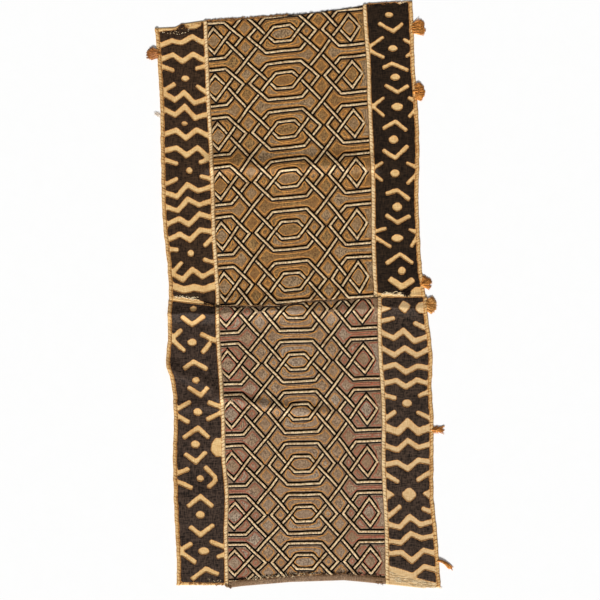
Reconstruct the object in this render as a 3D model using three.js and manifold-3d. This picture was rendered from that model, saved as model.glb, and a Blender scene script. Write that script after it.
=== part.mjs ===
// A Kuba raffia cloth lying flat, seen from above. Millimetres, +X to the right, +Y up the cloth, +Z up.
// Two embroidered centre panels overlap at a cross seam. Four hemmed border strips of undyed raffia
// carry a dark cut-work cloth, and small raffia tassels are sewn to the outer hems.
import * as THREE from "three";
import { mergeVertices } from "three/addons/utils/BufferGeometryUtils.js";
import Module from "manifold-3d";

const wasm = await Module();
wasm.setup();

// Thicknesses and clearances
const PANEL_THICK = 2.0;
const GROUND_THICK = 1.2;
const DARK_THICK = 1.0;
const HEM_HIGH = 3.2;
const OUTER_HEM = 8.5;
const INNER_HEM = 10.5;
const BAND_HALF = 5.5;
const GAP = 0.3;
const SEAM_LAP = 10;
const SEAM_RAMP = 14;
const BOTTOM_HEM = 13;
const DARK_EDGE = 0.6;

// Cut-outs of the dark cloth
const STROKE = 11;
const ZIGZAG_STROKE = 12.5;
const BROAD_STROKE = 17;
const SMALLEST_ISLAND = 60;

// Rows of the sheets along the cloth
const LENGTH = 1300;
const ROW_STEP = 56;
const PANEL_COLUMNS = 9;
const CUT_LOW = -5;
const CUT_HIGH = 45;

// Side edges of each half: x of the outer hems and of the middle of the inner hems, down the cloth
const UPPER_SIDES = [
  { down: 0, outerLeft: -315, innerLeft: -207, innerRight: 147, outerRight: 252 },
  { down: 57, outerLeft: -312, innerLeft: -203, innerRight: 150, outerRight: 255 },
  { down: 136, outerLeft: -306, innerLeft: -200, innerRight: 156, outerRight: 257 },
  { down: 216, outerLeft: -301, innerLeft: -197, innerRight: 158, outerRight: 263 },
  { down: 321, outerLeft: -299, innerLeft: -191, innerRight: 163, outerRight: 268 },
  { down: 427, outerLeft: -297, innerLeft: -187, innerRight: 167, outerRight: 266 },
  { down: 506, outerLeft: -293, innerLeft: -185, innerRight: 167, outerRight: 268 },
  { down: 585, outerLeft: -284, innerLeft: -180, innerRight: 169, outerRight: 273 },
  { down: 651, outerLeft: -281, innerLeft: -176, innerRight: 172, outerRight: 281 },
  { down: 700, outerLeft: -281, innerLeft: -176, innerRight: 172, outerRight: 284 },
];
const LOWER_SIDES = [
  { down: 630, outerLeft: -282, innerLeft: -175, innerRight: 181, outerRight: 284 },
  { down: 691, outerLeft: -284, innerLeft: -176, innerRight: 180, outerRight: 286 },
  { down: 744, outerLeft: -284, innerLeft: -175, innerRight: 181, outerRight: 293 },
  { down: 796, outerLeft: -288, innerLeft: -172, innerRight: 183, outerRight: 297 },
  { down: 849, outerLeft: -275, innerLeft: -168, innerRight: 187, outerRight: 295 },
  { down: 928, outerLeft: -271, innerLeft: -164, innerRight: 190, outerRight: 299 },
  { down: 1008, outerLeft: -273, innerLeft: -163, innerRight: 189, outerRight: 299 },
  { down: 1087, outerLeft: -271, innerLeft: -156, innerRight: 192, outerRight: 299 },
  { down: 1166, outerLeft: -268, innerLeft: -158, innerRight: 196, outerRight: 306 },
  { down: 1245, outerLeft: -264, innerLeft: -157, innerRight: 197, outerRight: 312 },
  { down: 1300, outerLeft: -266, innerLeft: -156, innerRight: 198, outerRight: 315 },
];

// Uneven cut ends, from left to right
const TOP_EDGE = [
  { x: -330, down: 63 }, { x: -268, down: 60 }, { x: -255, down: 53 }, { x: -207, down: 46 },
  { x: -136, down: 41 }, { x: -59, down: 35 }, { x: 7, down: 30 }, { x: 106, down: 18 },
  { x: 153, down: 9 }, { x: 183, down: 7 }, { x: 275, down: 2 },
];
const BOTTOM_EDGE = [
  { x: -290, down: 1287 }, { x: -158, down: 1287 }, { x: -150, down: 1293 }, { x: -121, down: 1289 },
  { x: -15, down: 1280 }, { x: 103, down: 1276 }, { x: 189, down: 1284 }, { x: 235, down: 1289 },
  { x: 270, down: 1293 }, { x: 330, down: 1291 },
];
const SEAM = [
  { x: -330, down: 656 }, { x: -281, down: 660 }, { x: -176, down: 673 }, { x: -42, down: 673 },
  { x: 18, down: 662 }, { x: 108, down: 658 }, { x: 176, down: 653 }, { x: 330, down: 652 },
];

// Where the dark cloth ends, as margins from the ends of its strip
const DARK_TOP_MARGIN = 5;
const DARK_BOTTOM_MARGIN = 6;
const DARK_SEAM_MARGIN = 8;
const DARK_LAST_EDGE = [
  { x: 190, down: 1249 }, { x: 242, down: 1264 }, { x: 254, down: 1268 }, { x: 320, down: 1285 },
];

// Soft creases: a crest line, its height at both ends, its half width, and how far its ends fade out
const CREASES = [
  { x0: -215, down0: 359, x1: 195, down1: 354, high0: 5, high1: 5, half: 18, fade: 24 },
  { x0: -330, down0: 685, x1: 330, down1: 685, high0: 9, high1: 3, half: 25, fade: 1 },
  { x0: -135, down0: 880, x1: 45, down1: 914, high0: 4, high1: 3, half: 14, fade: 40 },
  { x0: -300, down0: 898, x1: -160, down1: 890, high0: 2.5, high1: 2.5, half: 20, fade: 20 },
];

// Cut-outs. "across" runs from the middle of the dark cloth to the right, "down" from the top datum.
const LEFT_UPPER = {
  zigzags: [
    { down: [103, 90, 95, 81, 97] }, { down: [132, 121, 136, 119, 136] },
    { down: [202, 220, 204, 227, 218] }, { down: [238, 253, 235, 260, 251] },
    { down: [299, 286, 304, 286, 301] }, { down: [334, 325, 342, 325, 351] },
    { down: [422, 433, 406, 420, 411] }, { down: [453, 464, 438, 451, 442] },
    { down: [497, 481, 494, 471, 480] }, { down: [530, 515, 528, 506, 510] },
    { down: [598, 616, 592, 609, 593] }, { down: [627, 638, 632, 637, 627], stroke: BROAD_STROKE },
  ],
  chevrons: [],
  bars: [
    { across: -31, down: 152, length: 28, tilt: -20 }, { across: 38, down: 149, length: 25, tilt: 15 },
    { across: -30, down: 191, length: 28, tilt: 29 }, { across: 37, down: 195, length: 27, tilt: -35 },
    { across: -31, down: 357, length: 29, tilt: -18 }, { across: 38, down: 355, length: 24, tilt: 19 },
    { across: -32, down: 398, length: 28, tilt: 27 }, { across: 39, down: 390, length: 26, tilt: -15 },
    { across: -36, down: 549, length: 22, tilt: -7 }, { across: 38, down: 534, length: 24, tilt: 45 },
    { across: -31, down: 586, length: 30, tilt: 48 }, { across: 35, down: 573, length: 22, tilt: -17 },
  ],
  dots: [
    { across: 27, down: 54, wide: 38, high: 22 }, { across: 4, down: 173, wide: 20, high: 15 },
    { across: -2, down: 272, wide: 16, high: 11 }, { across: 5, down: 375, wide: 16, high: 16 },
    { across: 0, down: 557, wide: 16, high: 16 },
  ],
};
const LEFT_LOWER = {
  zigzags: [],
  chevrons: [
    { across: -2, down: 714, left: 24, leftRise: 19, right: 28, rightRise: 20 },
    { across: 1, down: 796, left: 23, leftRise: -16, right: 31, rightRise: -17 },
    { across: 6, down: 870, left: 29, leftRise: 20, right: 17, rightRise: 20 },
    { across: -2, down: 941, left: 33, leftRise: -23, right: 25, rightRise: -23 },
    { across: -6, down: 1016, left: 26, leftRise: 19, right: 23, rightRise: 23 },
    { across: 0, down: 1092, left: 30, leftRise: -23, right: 27, rightRise: -23 },
    { across: -2, down: 1177, left: 23, leftRise: 20, right: 31, rightRise: 24 },
    { across: 8, down: 1251, left: 31, leftRise: -24, right: 29, rightRise: -13 },
  ],
  bars: [
    { across: -37, down: 735, length: 34, tilt: 41 }, { across: -33, down: 759, length: 44, tilt: -42 },
    { across: 30, down: 741, length: 34, tilt: -26 }, { across: 29, down: 765, length: 32, tilt: 50 },
    { across: -29, down: 890, length: 31, tilt: 30 }, { across: -32, down: 923, length: 28, tilt: -30 },
    { across: 34, down: 889, length: 29, tilt: -21 }, { across: 33, down: 915, length: 37, tilt: 27 },
    { across: -34, down: 1035, length: 27, tilt: 22 }, { across: -32, down: 1067, length: 36, tilt: -24 },
    { across: 24, down: 1039, length: 38, tilt: -46 }, { across: 27, down: 1063, length: 30, tilt: 45 },
    { across: -33, down: 1202, length: 31, tilt: 33 }, { across: -29, down: 1226, length: 41, tilt: -35 },
    { across: 35, down: 1197, length: 38, tilt: -22 }, { across: 43, down: 1222, length: 23, tilt: 23 },
  ],
  dots: [
    { across: 1, down: 679, wide: 16, high: 13 }, { across: -3, down: 753, wide: 21, high: 17 },
    { across: 0, down: 836, wide: 17, high: 14 }, { across: -2, down: 906, wide: 20, high: 18 },
    { across: -7, down: 977, wide: 21, high: 17 }, { across: 44, down: 984, wide: 34, high: 42 },
    { across: 1, down: 1052, wide: 17, high: 15 }, { across: -1, down: 1132, wide: 20, high: 18 },
    { across: 5, down: 1212, wide: 24, high: 18 },
  ],
};
const RIGHT_UPPER = {
  zigzags: [],
  chevrons: [
    { across: 10, down: 70, left: 33, leftRise: 19, right: 22, rightRise: 19 },
    { across: 3, down: 140, left: 21, leftRise: -10, right: 37, rightRise: -16 },
    { across: 12, down: 203, left: 29, leftRise: 17, right: 25, rightRise: 15 },
    { across: 4, down: 267, left: 28, leftRise: -17, right: 26, rightRise: -21 },
    { across: 1, down: 348, left: 28, leftRise: 19, right: 29, rightRise: 28 },
    { across: 5, down: 418, left: 26, leftRise: -9, right: 28, rightRise: -22 },
    { across: 5, down: 490, left: 27, leftRise: 18, right: 29, rightRise: 16 },
    { across: 8, down: 559, left: 31, leftRise: -22, right: 30, rightRise: -21 },
    { across: 6, down: 632, left: 28, leftRise: 20, right: 27, rightRise: 19, stroke: BROAD_STROKE },
  ],
  bars: [
    { across: -28, down: 92, length: 40, tilt: 35 }, { across: -28, down: 120, length: 36, tilt: -26 },
    { across: 37, down: 90, length: 18, tilt: -33 }, { across: 39, down: 122, length: 14, tilt: 36 },
    { across: -32, down: 225, length: 38, tilt: 38 }, { across: -30, down: 247, length: 31, tilt: -42 },
    { across: 41, down: 218, length: 16, tilt: -35 }, { across: 40, down: 251, length: 20, tilt: 51 },
    { across: -35, down: 363, length: 24, tilt: 33 }, { across: -35, down: 392, length: 23, tilt: -38 },
    { across: 34, down: 362, length: 22, tilt: -27 }, { across: 35, down: 396, length: 26, tilt: 45 },
    { across: -34, down: 506, length: 32, tilt: 15 }, { across: -28, down: 533, length: 43, tilt: -32 },
    { across: 36, down: 507, length: 18, tilt: -24 }, { across: 38, down: 535, length: 22, tilt: 60 },
  ],
  dots: [
    { across: 2, down: 33, wide: 20, high: 13 }, { across: 7, down: 107, wide: 22, high: 15 },
    { across: 9, down: 170, wide: 22, high: 15 }, { across: 10, down: 235, wide: 26, high: 18 },
    { across: -1, down: 307, wide: 22, high: 18 }, { across: 0, down: 381, wide: 22, high: 18 },
    { across: 5, down: 455, wide: 22, high: 20 }, { across: 4, down: 524, wide: 28, high: 17 },
    { across: 10, down: 596, wide: 18, high: 18 },
  ],
};
const RIGHT_LOWER = {
  zigzags: [
    { down: [728, 744, 727, 751, 739] }, { down: [762, 782, 765, 782, 766] },
    { down: [811, 802, 819, 805, 811] }, { down: [845, 837, 851, 836, 845] },
    { down: [938, 950, 929, 950, 938], stroke: BROAD_STROKE }, { down: [979, 990, 969, 985, 975] },
    { down: [1024, 1017, 1031, 1012, 1017] }, { down: [1151, 1160, 1136, 1154, 1146] },
    { down: [1189, 1194, 1173, 1184, 1177] }, { down: [1219, 1215, 1234, 1210, 1220] },
    { down: [1249, 1258, 1267, 1246, 1256] },
  ],
  chevrons: [],
  bars: [
    { across: -36, down: 676, length: 28, tilt: 3 }, { across: -32, down: 703, length: 32, tilt: 14 },
    { across: 34, down: 715, length: 26, tilt: -27 }, { across: -36, down: 873, length: 28, tilt: -15 },
    { across: 36, down: 867, length: 24, tilt: 24 }, { across: -37, down: 913, length: 30, tilt: 36 },
    { across: 34, down: 913, length: 34, tilt: -27 }, { across: -32, down: 1053, length: 32, tilt: -31 },
    { across: 35, down: 1048, length: 38, tilt: 33 }, { across: -40, down: 1088, length: 23, tilt: 3 },
    { across: 41, down: 1086, length: 21, tilt: -4 }, { across: -32, down: 1124, length: 38, tilt: 41 },
    { across: 39, down: 1122, length: 27, tilt: -23 },
  ],
  dots: [
    { across: 4, down: 675, wide: 24, high: 25 }, { across: 42, down: 677, wide: 27, high: 26 },
    { across: 0, down: 887, wide: 22, high: 18 }, { across: 2, down: 1088, wide: 29, high: 28 },
  ],
};

// Tassels on the outer hems: heading of the middle lock, fan to each side, locks in each layer
const TASSELS = [
  { name: "tassel_left_top", side: "left", down: 119, heading: 182, fan: 34, long: 18, bend: 0,
    locks: [7, 6, 4], root: 4.2 },
  { name: "tassel_right_1", side: "right", down: 66, heading: 6, fan: 42, long: 24, bend: 0,
    locks: [7, 5], root: 3.4 },
  { name: "tassel_right_2", side: "right", down: 202, heading: 4, fan: 66, long: 21, bend: 0,
    locks: [8, 7, 5], root: 4.2 },
  { name: "tassel_right_3", side: "right", down: 627, heading: 40, fan: 55, long: 15, bend: 0,
    locks: [6, 5, 3], root: 4.0 },
  { name: "tassel_right_4", side: "right", down: 671, heading: -4, fan: 64, long: 20, bend: 0,
    locks: [8, 7, 5], root: 4.4 },
  { name: "tassel_right_5", side: "right", down: 945, heading: 0, fan: 26, long: 26, bend: 0,
    locks: [5, 4], root: 3.0 },
  { name: "tassel_right_6", side: "right", down: 1236, heading: 2, fan: 7, long: 38, bend: -22,
    locks: [3, 2], root: 2.6 },
];
const LOCK_WIDE = 2.1;
const LOCK_HIGH = 1.3;
const LOCK_LAYER = 1.6;
const LOCK_STEPS = 2;

const COLOURS = {
  panel: { color: 0x9a7b52, roughness: 0.95 },
  ground: { color: 0xd9bb7e, roughness: 0.9 },
  dark: { color: 0x352c27, roughness: 0.95 },
  tassel: { color: 0xb07a35, roughness: 0.85 },
};

// Value of one column at a place down a table, as a smooth curve through its rows
function along(table, column, at, key = "down") {
  const last = table.length - 1;
  let i = 0;
  while (i < last - 1 && at > table[i + 1][key]) i += 1;
  const slope = (k) => {
    const a = table[Math.max(k - 1, 0)];
    const b = table[Math.min(k + 1, last)];
    return (b[column] - a[column]) / (b[key] - a[key]);
  };
  const step = table[i + 1][key] - table[i][key];
  const t = THREE.MathUtils.clamp((at - table[i][key]) / step, 0, 1);
  const rise = table[i + 1][column] - table[i][column];
  const bulge = (slope(i) * step - rise) * (1 - t) + (rise - slope(i + 1) * step) * t;
  return table[i][column] + rise * t + bulge * t * (1 - t);
}

// Value of a plain polyline of { x, down } rows at x
function edgeAt(edge, x) {
  let i = 0;
  while (i < edge.length - 2 && x > edge[i + 1].x) i += 1;
  const t = THREE.MathUtils.clamp((x - edge[i].x) / (edge[i + 1].x - edge[i].x), 0, 1);
  return THREE.MathUtils.lerp(edge[i].down, edge[i + 1].down, t);
}

// Height of the cloth's underside over the surface that it lies on
function crease(x, down) {
  return CREASES.reduce((sum, c) => {
    const run = new THREE.Vector2(c.x1 - c.x0, c.down1 - c.down0);
    const length = run.length();
    run.divideScalar(length);
    const s = (x - c.x0) * run.x + (down - c.down0) * run.y;
    const off = Math.abs((x - c.x0) * -run.y + (down - c.down0) * run.x);
    if (off >= c.half || s <= 0 || s >= length) return sum;
    const ends = THREE.MathUtils.smoothstep(Math.min(s, length - s), 0, c.fade);
    const high = THREE.MathUtils.lerp(c.high0, c.high1, s / length);
    return sum + high * ends * Math.cos((Math.PI / 2) * (off / c.half)) ** 2;
  }, 0);
}

// Rows for the sheets: an even step, and close rows over each crease and the seam's lap
function rowPlaces(from, to) {
  const places = [from, to];
  for (let down = 0; down <= LENGTH; down += ROW_STEP) places.push(down);
  for (const c of CREASES) {
    const low = Math.min(c.down0, c.down1) - c.half;
    const high = Math.max(c.down0, c.down1) + c.half;
    const steps = Math.round((high - low) / 7.5);
    for (let i = 0; i <= steps; i += 1) places.push(THREE.MathUtils.lerp(low, high, i / steps));
  }
  places.push(627, 633, 639, 645, 651, 656);
  const sorted = places.filter((p) => p >= from && p <= to).sort((a, b) => a - b);
  return sorted.filter((p, i) => i === 0 || p - sorted[i - 1] > 2.5 || p === to);
}

function toManifold(geometry) {
  const bare = new THREE.BufferGeometry();
  bare.setAttribute("position", geometry.getAttribute("position"));
  if (geometry.index) bare.setIndex(geometry.index);
  const merged = mergeVertices(bare, 1e-4);
  return new wasm.Manifold(new wasm.Mesh({
    numProp: 3,
    vertProperties: new Float32Array(merged.getAttribute("position").array),
    triVerts: new Uint32Array(merged.index.array),
  }));
}

function toGeometry(solid) {
  const mesh = solid.getMesh();
  const geometry = new THREE.BufferGeometry();
  geometry.setAttribute("position", new THREE.BufferAttribute(new Float32Array(mesh.vertProperties), 3));
  geometry.setIndex(new THREE.BufferAttribute(new Uint32Array(mesh.triVerts), 1));
  geometry.computeVertexNormals();
  return geometry;
}

// Closed slab. section(down) gives its stations across, each with x and the heights of both faces.
function slab(rows, section) {
  const lines = rows.map((down) => section(down).map((p) => ({ ...p, y: -down })));
  const across = lines[0].length;
  const position = [];
  for (const face of ["low", "high"]) {
    for (const line of lines) for (const p of line) position.push(p.x, p.y, p[face]);
  }
  const half = lines.length * across;
  const index = [];
  const quad = (a, b, c, d) => index.push(a, b, c, a, c, d);
  for (let r = 0; r < lines.length - 1; r += 1) {
    for (let i = 0; i < across - 1; i += 1) {
      const a = r * across + i;
      const b = a + across;
      quad(half + a, half + b, half + b + 1, half + a + 1);
      quad(a, a + 1, b + 1, b);
    }
    const left = r * across;
    const right = left + across - 1;
    quad(left, left + across, half + left + across, half + left);
    quad(half + right, half + right + across, right + across, right);
  }
  for (let i = 0; i < across - 1; i += 1) {
    const end = (lines.length - 1) * across + i;
    quad(half + i, half + i + 1, i + 1, i);
    quad(end, end + 1, half + end + 1, half + end);
  }
  const geometry = new THREE.BufferGeometry();
  geometry.setAttribute("position", new THREE.Float32BufferAttribute(position, 3));
  geometry.setIndex(index);
  return toManifold(geometry);
}

// Upright prism through all the layers, from an outline of [x, y] points
function prism(outline) {
  const shape = new THREE.Shape(outline.map(([x, y]) => new THREE.Vector2(x, y)));
  const geometry = new THREE.ExtrudeGeometry(shape, { depth: CUT_HIGH - CUT_LOW, bevelEnabled: false });
  geometry.translate(0, 0, CUT_LOW);
  return toManifold(geometry);
}

// Cuts away what lies beyond an edge: beyond is -1 for above it and 1 for below it
function trim(solid, edge, beyond, margin = 0) {
  const far = 200;
  const line = edge.map((p) => [p.x, -(p.down + margin)]);
  const back = [...line].reverse().map(([x, y]) => [x, y - beyond * far]);
  return solid.subtract(prism([...line, ...back]));
}

// Middle of the dark cloth between the two hems of a border
function darkSpan(sides, side, down) {
  const outer = along(sides, side === "left" ? "outerLeft" : "outerRight", down);
  const inner = along(sides, side === "left" ? "innerLeft" : "innerRight", down);
  const out = side === "left" ? 1 : -1;
  const a = outer + out * (OUTER_HEM + DARK_EDGE);
  const b = inner + out * (BAND_HALF - INNER_HEM - DARK_EDGE);
  return { from: Math.min(a, b), to: Math.max(a, b), middle: (a + b) / 2 };
}

function borderSection(sides, side, down) {
  const outer = along(sides, side === "left" ? "outerLeft" : "outerRight", down);
  const inner = along(sides, side === "left" ? "innerLeft" : "innerRight", down);
  const out = side === "left" ? 1 : -1;
  const edge = inner + out * (BAND_HALF - GAP / 2);
  const span = darkSpan(sides, side, down);
  const near = side === "left" ? span.from : span.to;
  const away = side === "left" ? span.to : span.from;
  const stations = [
    { x: outer, high: 1.7 },
    { x: outer + out * OUTER_HEM * 0.28, high: HEM_HIGH },
    { x: outer + out * OUTER_HEM * 0.68, high: HEM_HIGH },
    { x: outer + out * OUTER_HEM, high: GROUND_THICK },
    { x: near, high: GROUND_THICK },
    { x: span.middle, high: GROUND_THICK },
    { x: away, high: GROUND_THICK },
    { x: edge - out * (INNER_HEM - GAP), high: GROUND_THICK },
    { x: edge - out * INNER_HEM * 0.7, high: HEM_HIGH },
    { x: edge - out * INNER_HEM * 0.25, high: HEM_HIGH },
    { x: edge, high: 1.9 },
  ];
  if (side === "right") stations.reverse();
  return stations.map(({ x, high }) => {
    const lift = crease(x, down);
    return { x, low: lift, high: lift + high };
  });
}

function borderGround(half, side) {
  const sheet = slab(half.rows, (down) => borderSection(half.sides, side, down));
  return half.trims(sheet, 0);
}

// Outline of a stroke with mitred bends through its points
function stroke(points, wide) {
  const edge = (sign) => points.map((p, i) => {
    const before = points[Math.max(i - 1, 0)];
    const after = points[Math.min(i + 1, points.length - 1)];
    const a = new THREE.Vector2(p[0] - before[0], p[1] - before[1]);
    const b = new THREE.Vector2(after[0] - p[0], after[1] - p[1]);
    if (i === 0) a.copy(b);
    if (i === points.length - 1) b.copy(a);
    const normal = new THREE.Vector2(-a.y, a.x).normalize();
    const next = new THREE.Vector2(-b.y, b.x).normalize();
    const mitre = normal.clone().add(next).normalize();
    const reach = (sign * wide) / 2 / Math.max(mitre.dot(normal), 0.5);
    return [p[0] + mitre.x * reach, p[1] + mitre.y * reach];
  });
  return [...edge(-1), ...edge(1).reverse()];
}

function rounded(x, y, wide, high, tilt) {
  const corner = 0.3 * Math.min(wide, high);
  const w = wide / 2;
  const h = high / 2;
  const c = Math.cos(THREE.MathUtils.degToRad(tilt));
  const s = Math.sin(THREE.MathUtils.degToRad(tilt));
  return [
    [w, -h + corner], [w, h - corner], [w - corner, h], [-w + corner, h],
    [-w, h - corner], [-w, -h + corner], [-w + corner, -h], [w - corner, -h],
  ].map(([u, v]) => [x + u * c - v * s, y + u * s + v * c]);
}

// All the cut-outs of one dark cloth as upright prisms
function cutOuts(motifs, sides, side) {
  const place = (down, across) => [darkSpan(sides, side, down).middle + across, -down];
  const over = 6;
  const zigzags = motifs.zigzags.map(({ down, stroke: wide = ZIGZAG_STROKE }) => {
    const span = darkSpan(sides, side, down[2]);
    const width = span.to - span.from;
    const x = [span.from - over, span.from + 0.27 * width, span.middle,
      span.to - 0.25 * width, span.to + over];
    return stroke(down.map((d, i) => [x[i], -d]), wide);
  });
  const chevrons = motifs.chevrons.map((m) => {
    const [x, y] = place(m.down, m.across);
    const points = [[x - m.left, y + m.leftRise], [x, y], [x + m.right, y + m.rightRise]];
    return stroke(points, m.stroke ?? STROKE);
  });
  const bars = motifs.bars.map((m) => {
    const [x, y] = place(m.down, m.across);
    return rounded(x, y, m.length, STROKE, m.tilt);
  });
  const dots = motifs.dots.map((m) => {
    const [x, y] = place(m.down, m.across);
    return rounded(x, y, m.wide, m.high, 0);
  });
  return [...zigzags, ...chevrons, ...bars, ...dots].map(prism);
}

// The dark cloth between the hems, with its cut-outs, as one solid for each loose piece
function darkCloth(half, side, motifs) {
  const low = GROUND_THICK + GAP;
  const sheet = slab(half.rows, (down) => {
    const span = darkSpan(half.sides, side, down);
    return [span.from, span.middle, span.to].map((x) => {
      const lift = crease(x, down);
      return { x, low: lift + low, high: lift + low + DARK_THICK };
    });
  });
  const cut = half.darkTrims(sheet, side).subtract(wasm.Manifold.union(cutOuts(motifs, half.sides, side)));
  return cut.decompose()
    .filter((piece) => piece.volume() > SMALLEST_ISLAND)
    .sort((a, b) => b.boundingBox().max[1] - a.boundingBox().max[1]);
}

// Embroidered centre panel. lapped is the one whose lower end lies over the other.
function panel(half, lapped) {
  const seamLift = PANEL_THICK + GAP + 0.1;
  const sheet = slab(half.rows, (down) => {
    const from = along(half.sides, "innerLeft", down) + BAND_HALF + GAP / 2;
    const to = along(half.sides, "innerRight", down) - BAND_HALF - GAP / 2;
    return Array.from({ length: PANEL_COLUMNS }, (_, i) => {
      const x = THREE.MathUtils.lerp(from, to, i / (PANEL_COLUMNS - 1));
      const toSeam = edgeAt(SEAM, x) - down;
      const over = 1 - THREE.MathUtils.smoothstep(toSeam, SEAM_LAP + 7, SEAM_LAP + SEAM_RAMP + 7);
      const lift = crease(x, down) + (lapped ? seamLift * over : 0);
      const toEnd = edgeAt(BOTTOM_EDGE, x) - down;
      const hem = lapped ? 0 : 1.2 * (1 - THREE.MathUtils.smoothstep(toEnd, BOTTOM_HEM, BOTTOM_HEM + 3));
      return { x, low: lift, high: lift + PANEL_THICK + hem };
    });
  });
  return sheet;
}

function lock(root, heading, bend, long, layer) {
  const points = [];
  let x = root.x;
  let y = root.y;
  let turn = THREE.MathUtils.degToRad(heading);
  const step = long / LOCK_STEPS;
  for (let i = 0; i <= LOCK_STEPS; i += 1) {
    points.push({ x, y, turn, wide: LOCK_WIDE * (i === LOCK_STEPS ? 0.7 : 1 + 0.15 * i) });
    x += Math.cos(turn) * step;
    y += Math.sin(turn) * step;
    turn += THREE.MathUtils.degToRad(bend);
  }
  const low = layer * LOCK_LAYER;
  const position = [];
  for (const p of points) {
    const nx = (-Math.sin(p.turn) * p.wide) / 2;
    const ny = (Math.cos(p.turn) * p.wide) / 2;
    for (const [sign, z] of [[-1, low], [1, low], [1, low + LOCK_HIGH], [-1, low + LOCK_HIGH]]) {
      position.push(p.x + sign * nx, p.y + sign * ny, z);
    }
  }
  const index = [0, 2, 1, 0, 3, 2];
  for (let i = 0; i < LOCK_STEPS; i += 1) {
    for (let k = 0; k < 4; k += 1) {
      const a = i * 4 + k;
      const b = i * 4 + ((k + 1) % 4);
      index.push(a, b, b + 4, a, b + 4, a + 4);
    }
  }
  const end = LOCK_STEPS * 4;
  index.push(end, end + 1, end + 2, end, end + 2, end + 3);
  const geometry = new THREE.BufferGeometry();
  geometry.setAttribute("position", new THREE.Float32BufferAttribute(position, 3));
  geometry.setIndex(index);
  return toManifold(geometry);
}

// A tassel lying beside the hem: a bound root with its locks fanned out in layers
function tassel(row) {
  const sides = row.down < 660 ? UPPER_SIDES : LOWER_SIDES;
  const outer = along(sides, row.side === "left" ? "outerLeft" : "outerRight", row.down);
  const out = row.side === "left" ? -1 : 1;
  const centre = { x: outer + out * (row.root + 1.2), y: -row.down };
  const high = row.locks.length * LOCK_LAYER + 0.8;
  const profile = [[0, 0], [row.root, 0], [row.root, high * 0.55], [row.root * 0.7, high * 0.9], [0, high]];
  const dome = new THREE.LatheGeometry(profile.map(([r, z]) => new THREE.Vector2(r, z)), 10);
  dome.rotateX(Math.PI / 2);
  dome.translate(centre.x, centre.y, 0);
  const parts = [toManifold(dome)];
  row.locks.forEach((count, layer) => {
    for (let i = 0; i < count; i += 1) {
      const t = count === 1 ? 0 : (2 * i) / (count - 1) - 1;
      const wobble = 0.88 + 0.12 * Math.cos(2.3 * i + layer);
      const heading = row.heading + t * row.fan * (1 - 0.12 * layer);
      const long = row.long * wobble * (1 - 0.1 * layer) + row.root;
      parts.push(lock(centre, heading, row.bend, long, layer));
    }
  });
  return wasm.Manifold.union(parts);
}

const upper = { sides: UPPER_SIDES, rows: rowPlaces(0, 691) };
upper.trims = (solid) => trim(trim(solid, TOP_EDGE, -1), SEAM, 1, -GAP / 2);
upper.darkTrims = (solid) => trim(trim(solid, TOP_EDGE, -1, DARK_TOP_MARGIN), SEAM, 1, -DARK_SEAM_MARGIN);
const lower = { sides: LOWER_SIDES, rows: rowPlaces(630, LENGTH) };
lower.trims = (solid) => trim(trim(solid, SEAM, -1, GAP / 2), BOTTOM_EDGE, 1);
lower.darkTrims = (solid, side) => {
  const top = trim(solid, SEAM, -1, 1.5);
  return side === "left" ? trim(top, BOTTOM_EDGE, 1, -DARK_BOTTOM_MARGIN) : trim(top, DARK_LAST_EDGE, 1);
};

const cloth = new THREE.Group();
const inner = new THREE.Group();
cloth.add(inner);

function add(name, solid, look) {
  const mesh = new THREE.Mesh(toGeometry(solid), new THREE.MeshStandardMaterial({ ...look, metalness: 0 }));
  mesh.name = name;
  inner.add(mesh);
}

const grounds = {
  left_upper: borderGround(upper, "left"),
  left_lower: borderGround(lower, "left"),
  right_upper: borderGround(upper, "right"),
  right_lower: borderGround(lower, "right"),
};

// The lower panel's end passes under the upper panel, but stops short of the upper borders
function lapEnd(solid) {
  const reach = SEAM_LAP + 4;
  const sideCut = (column, out) => {
    const x = along(UPPER_SIDES, column, 651) - out * (BAND_HALF + GAP);
    const line = SEAM.map((p) => [p.x, -p.down]);
    const keep = line.filter(([px]) => (px - x) * out > 0);
    const start = [x, -edgeAt(SEAM, x)];
    const ordered = out > 0 ? [start, ...keep] : [...keep, start];
    const back = [...ordered].reverse().map(([px, py]) => [px, py + reach * 3]);
    return prism([...ordered.map(([px, py]) => [px, py - GAP / 2]), ...back]);
  };
  return solid.subtract(sideCut("innerRight", 1)).subtract(sideCut("innerLeft", -1));
}

add("panel_upper", upper.trims(panel(upper, true)), COLOURS.panel);
const lowerPanel = trim(trim(panel(lower, false), SEAM, -1, -SEAM_LAP), BOTTOM_EDGE, 1);
add("panel_lower", lapEnd(lowerPanel), COLOURS.panel);
for (const [place, solid] of Object.entries(grounds)) add(`border_${place}`, solid, COLOURS.ground);

const darkCloths = {
  left_upper: darkCloth(upper, "left", LEFT_UPPER),
  left_lower: darkCloth(lower, "left", LEFT_LOWER),
  right_upper: darkCloth(upper, "right", RIGHT_UPPER),
  right_lower: darkCloth(lower, "right", RIGHT_LOWER),
};
for (const [place, pieces] of Object.entries(darkCloths)) {
  pieces.forEach((piece, i) => {
    add(`dark_${place}_${String(i + 1).padStart(2, "0")}`, piece, COLOURS.dark);
  });
}
for (const row of TASSELS) add(row.name, tassel(row), COLOURS.tassel);

// The origin lies under the middle of the whole cloth
const box = new THREE.Box3().setFromObject(cloth);
inner.position.set(-(box.min.x + box.max.x) / 2, -(box.min.y + box.max.y) / 2, 0);

export default cloth;
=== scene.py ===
"""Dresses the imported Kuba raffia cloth: embroidery, cut-work, hems, stitches, tassels and loose threads.

Sizes are in millimetres, also in the docstrings where no other unit is given. They lie in the cloth's
own plan: x to the right, down from the top datum, z up from the surface. Lie turns them into metres in
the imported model's frame.
"""

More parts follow.
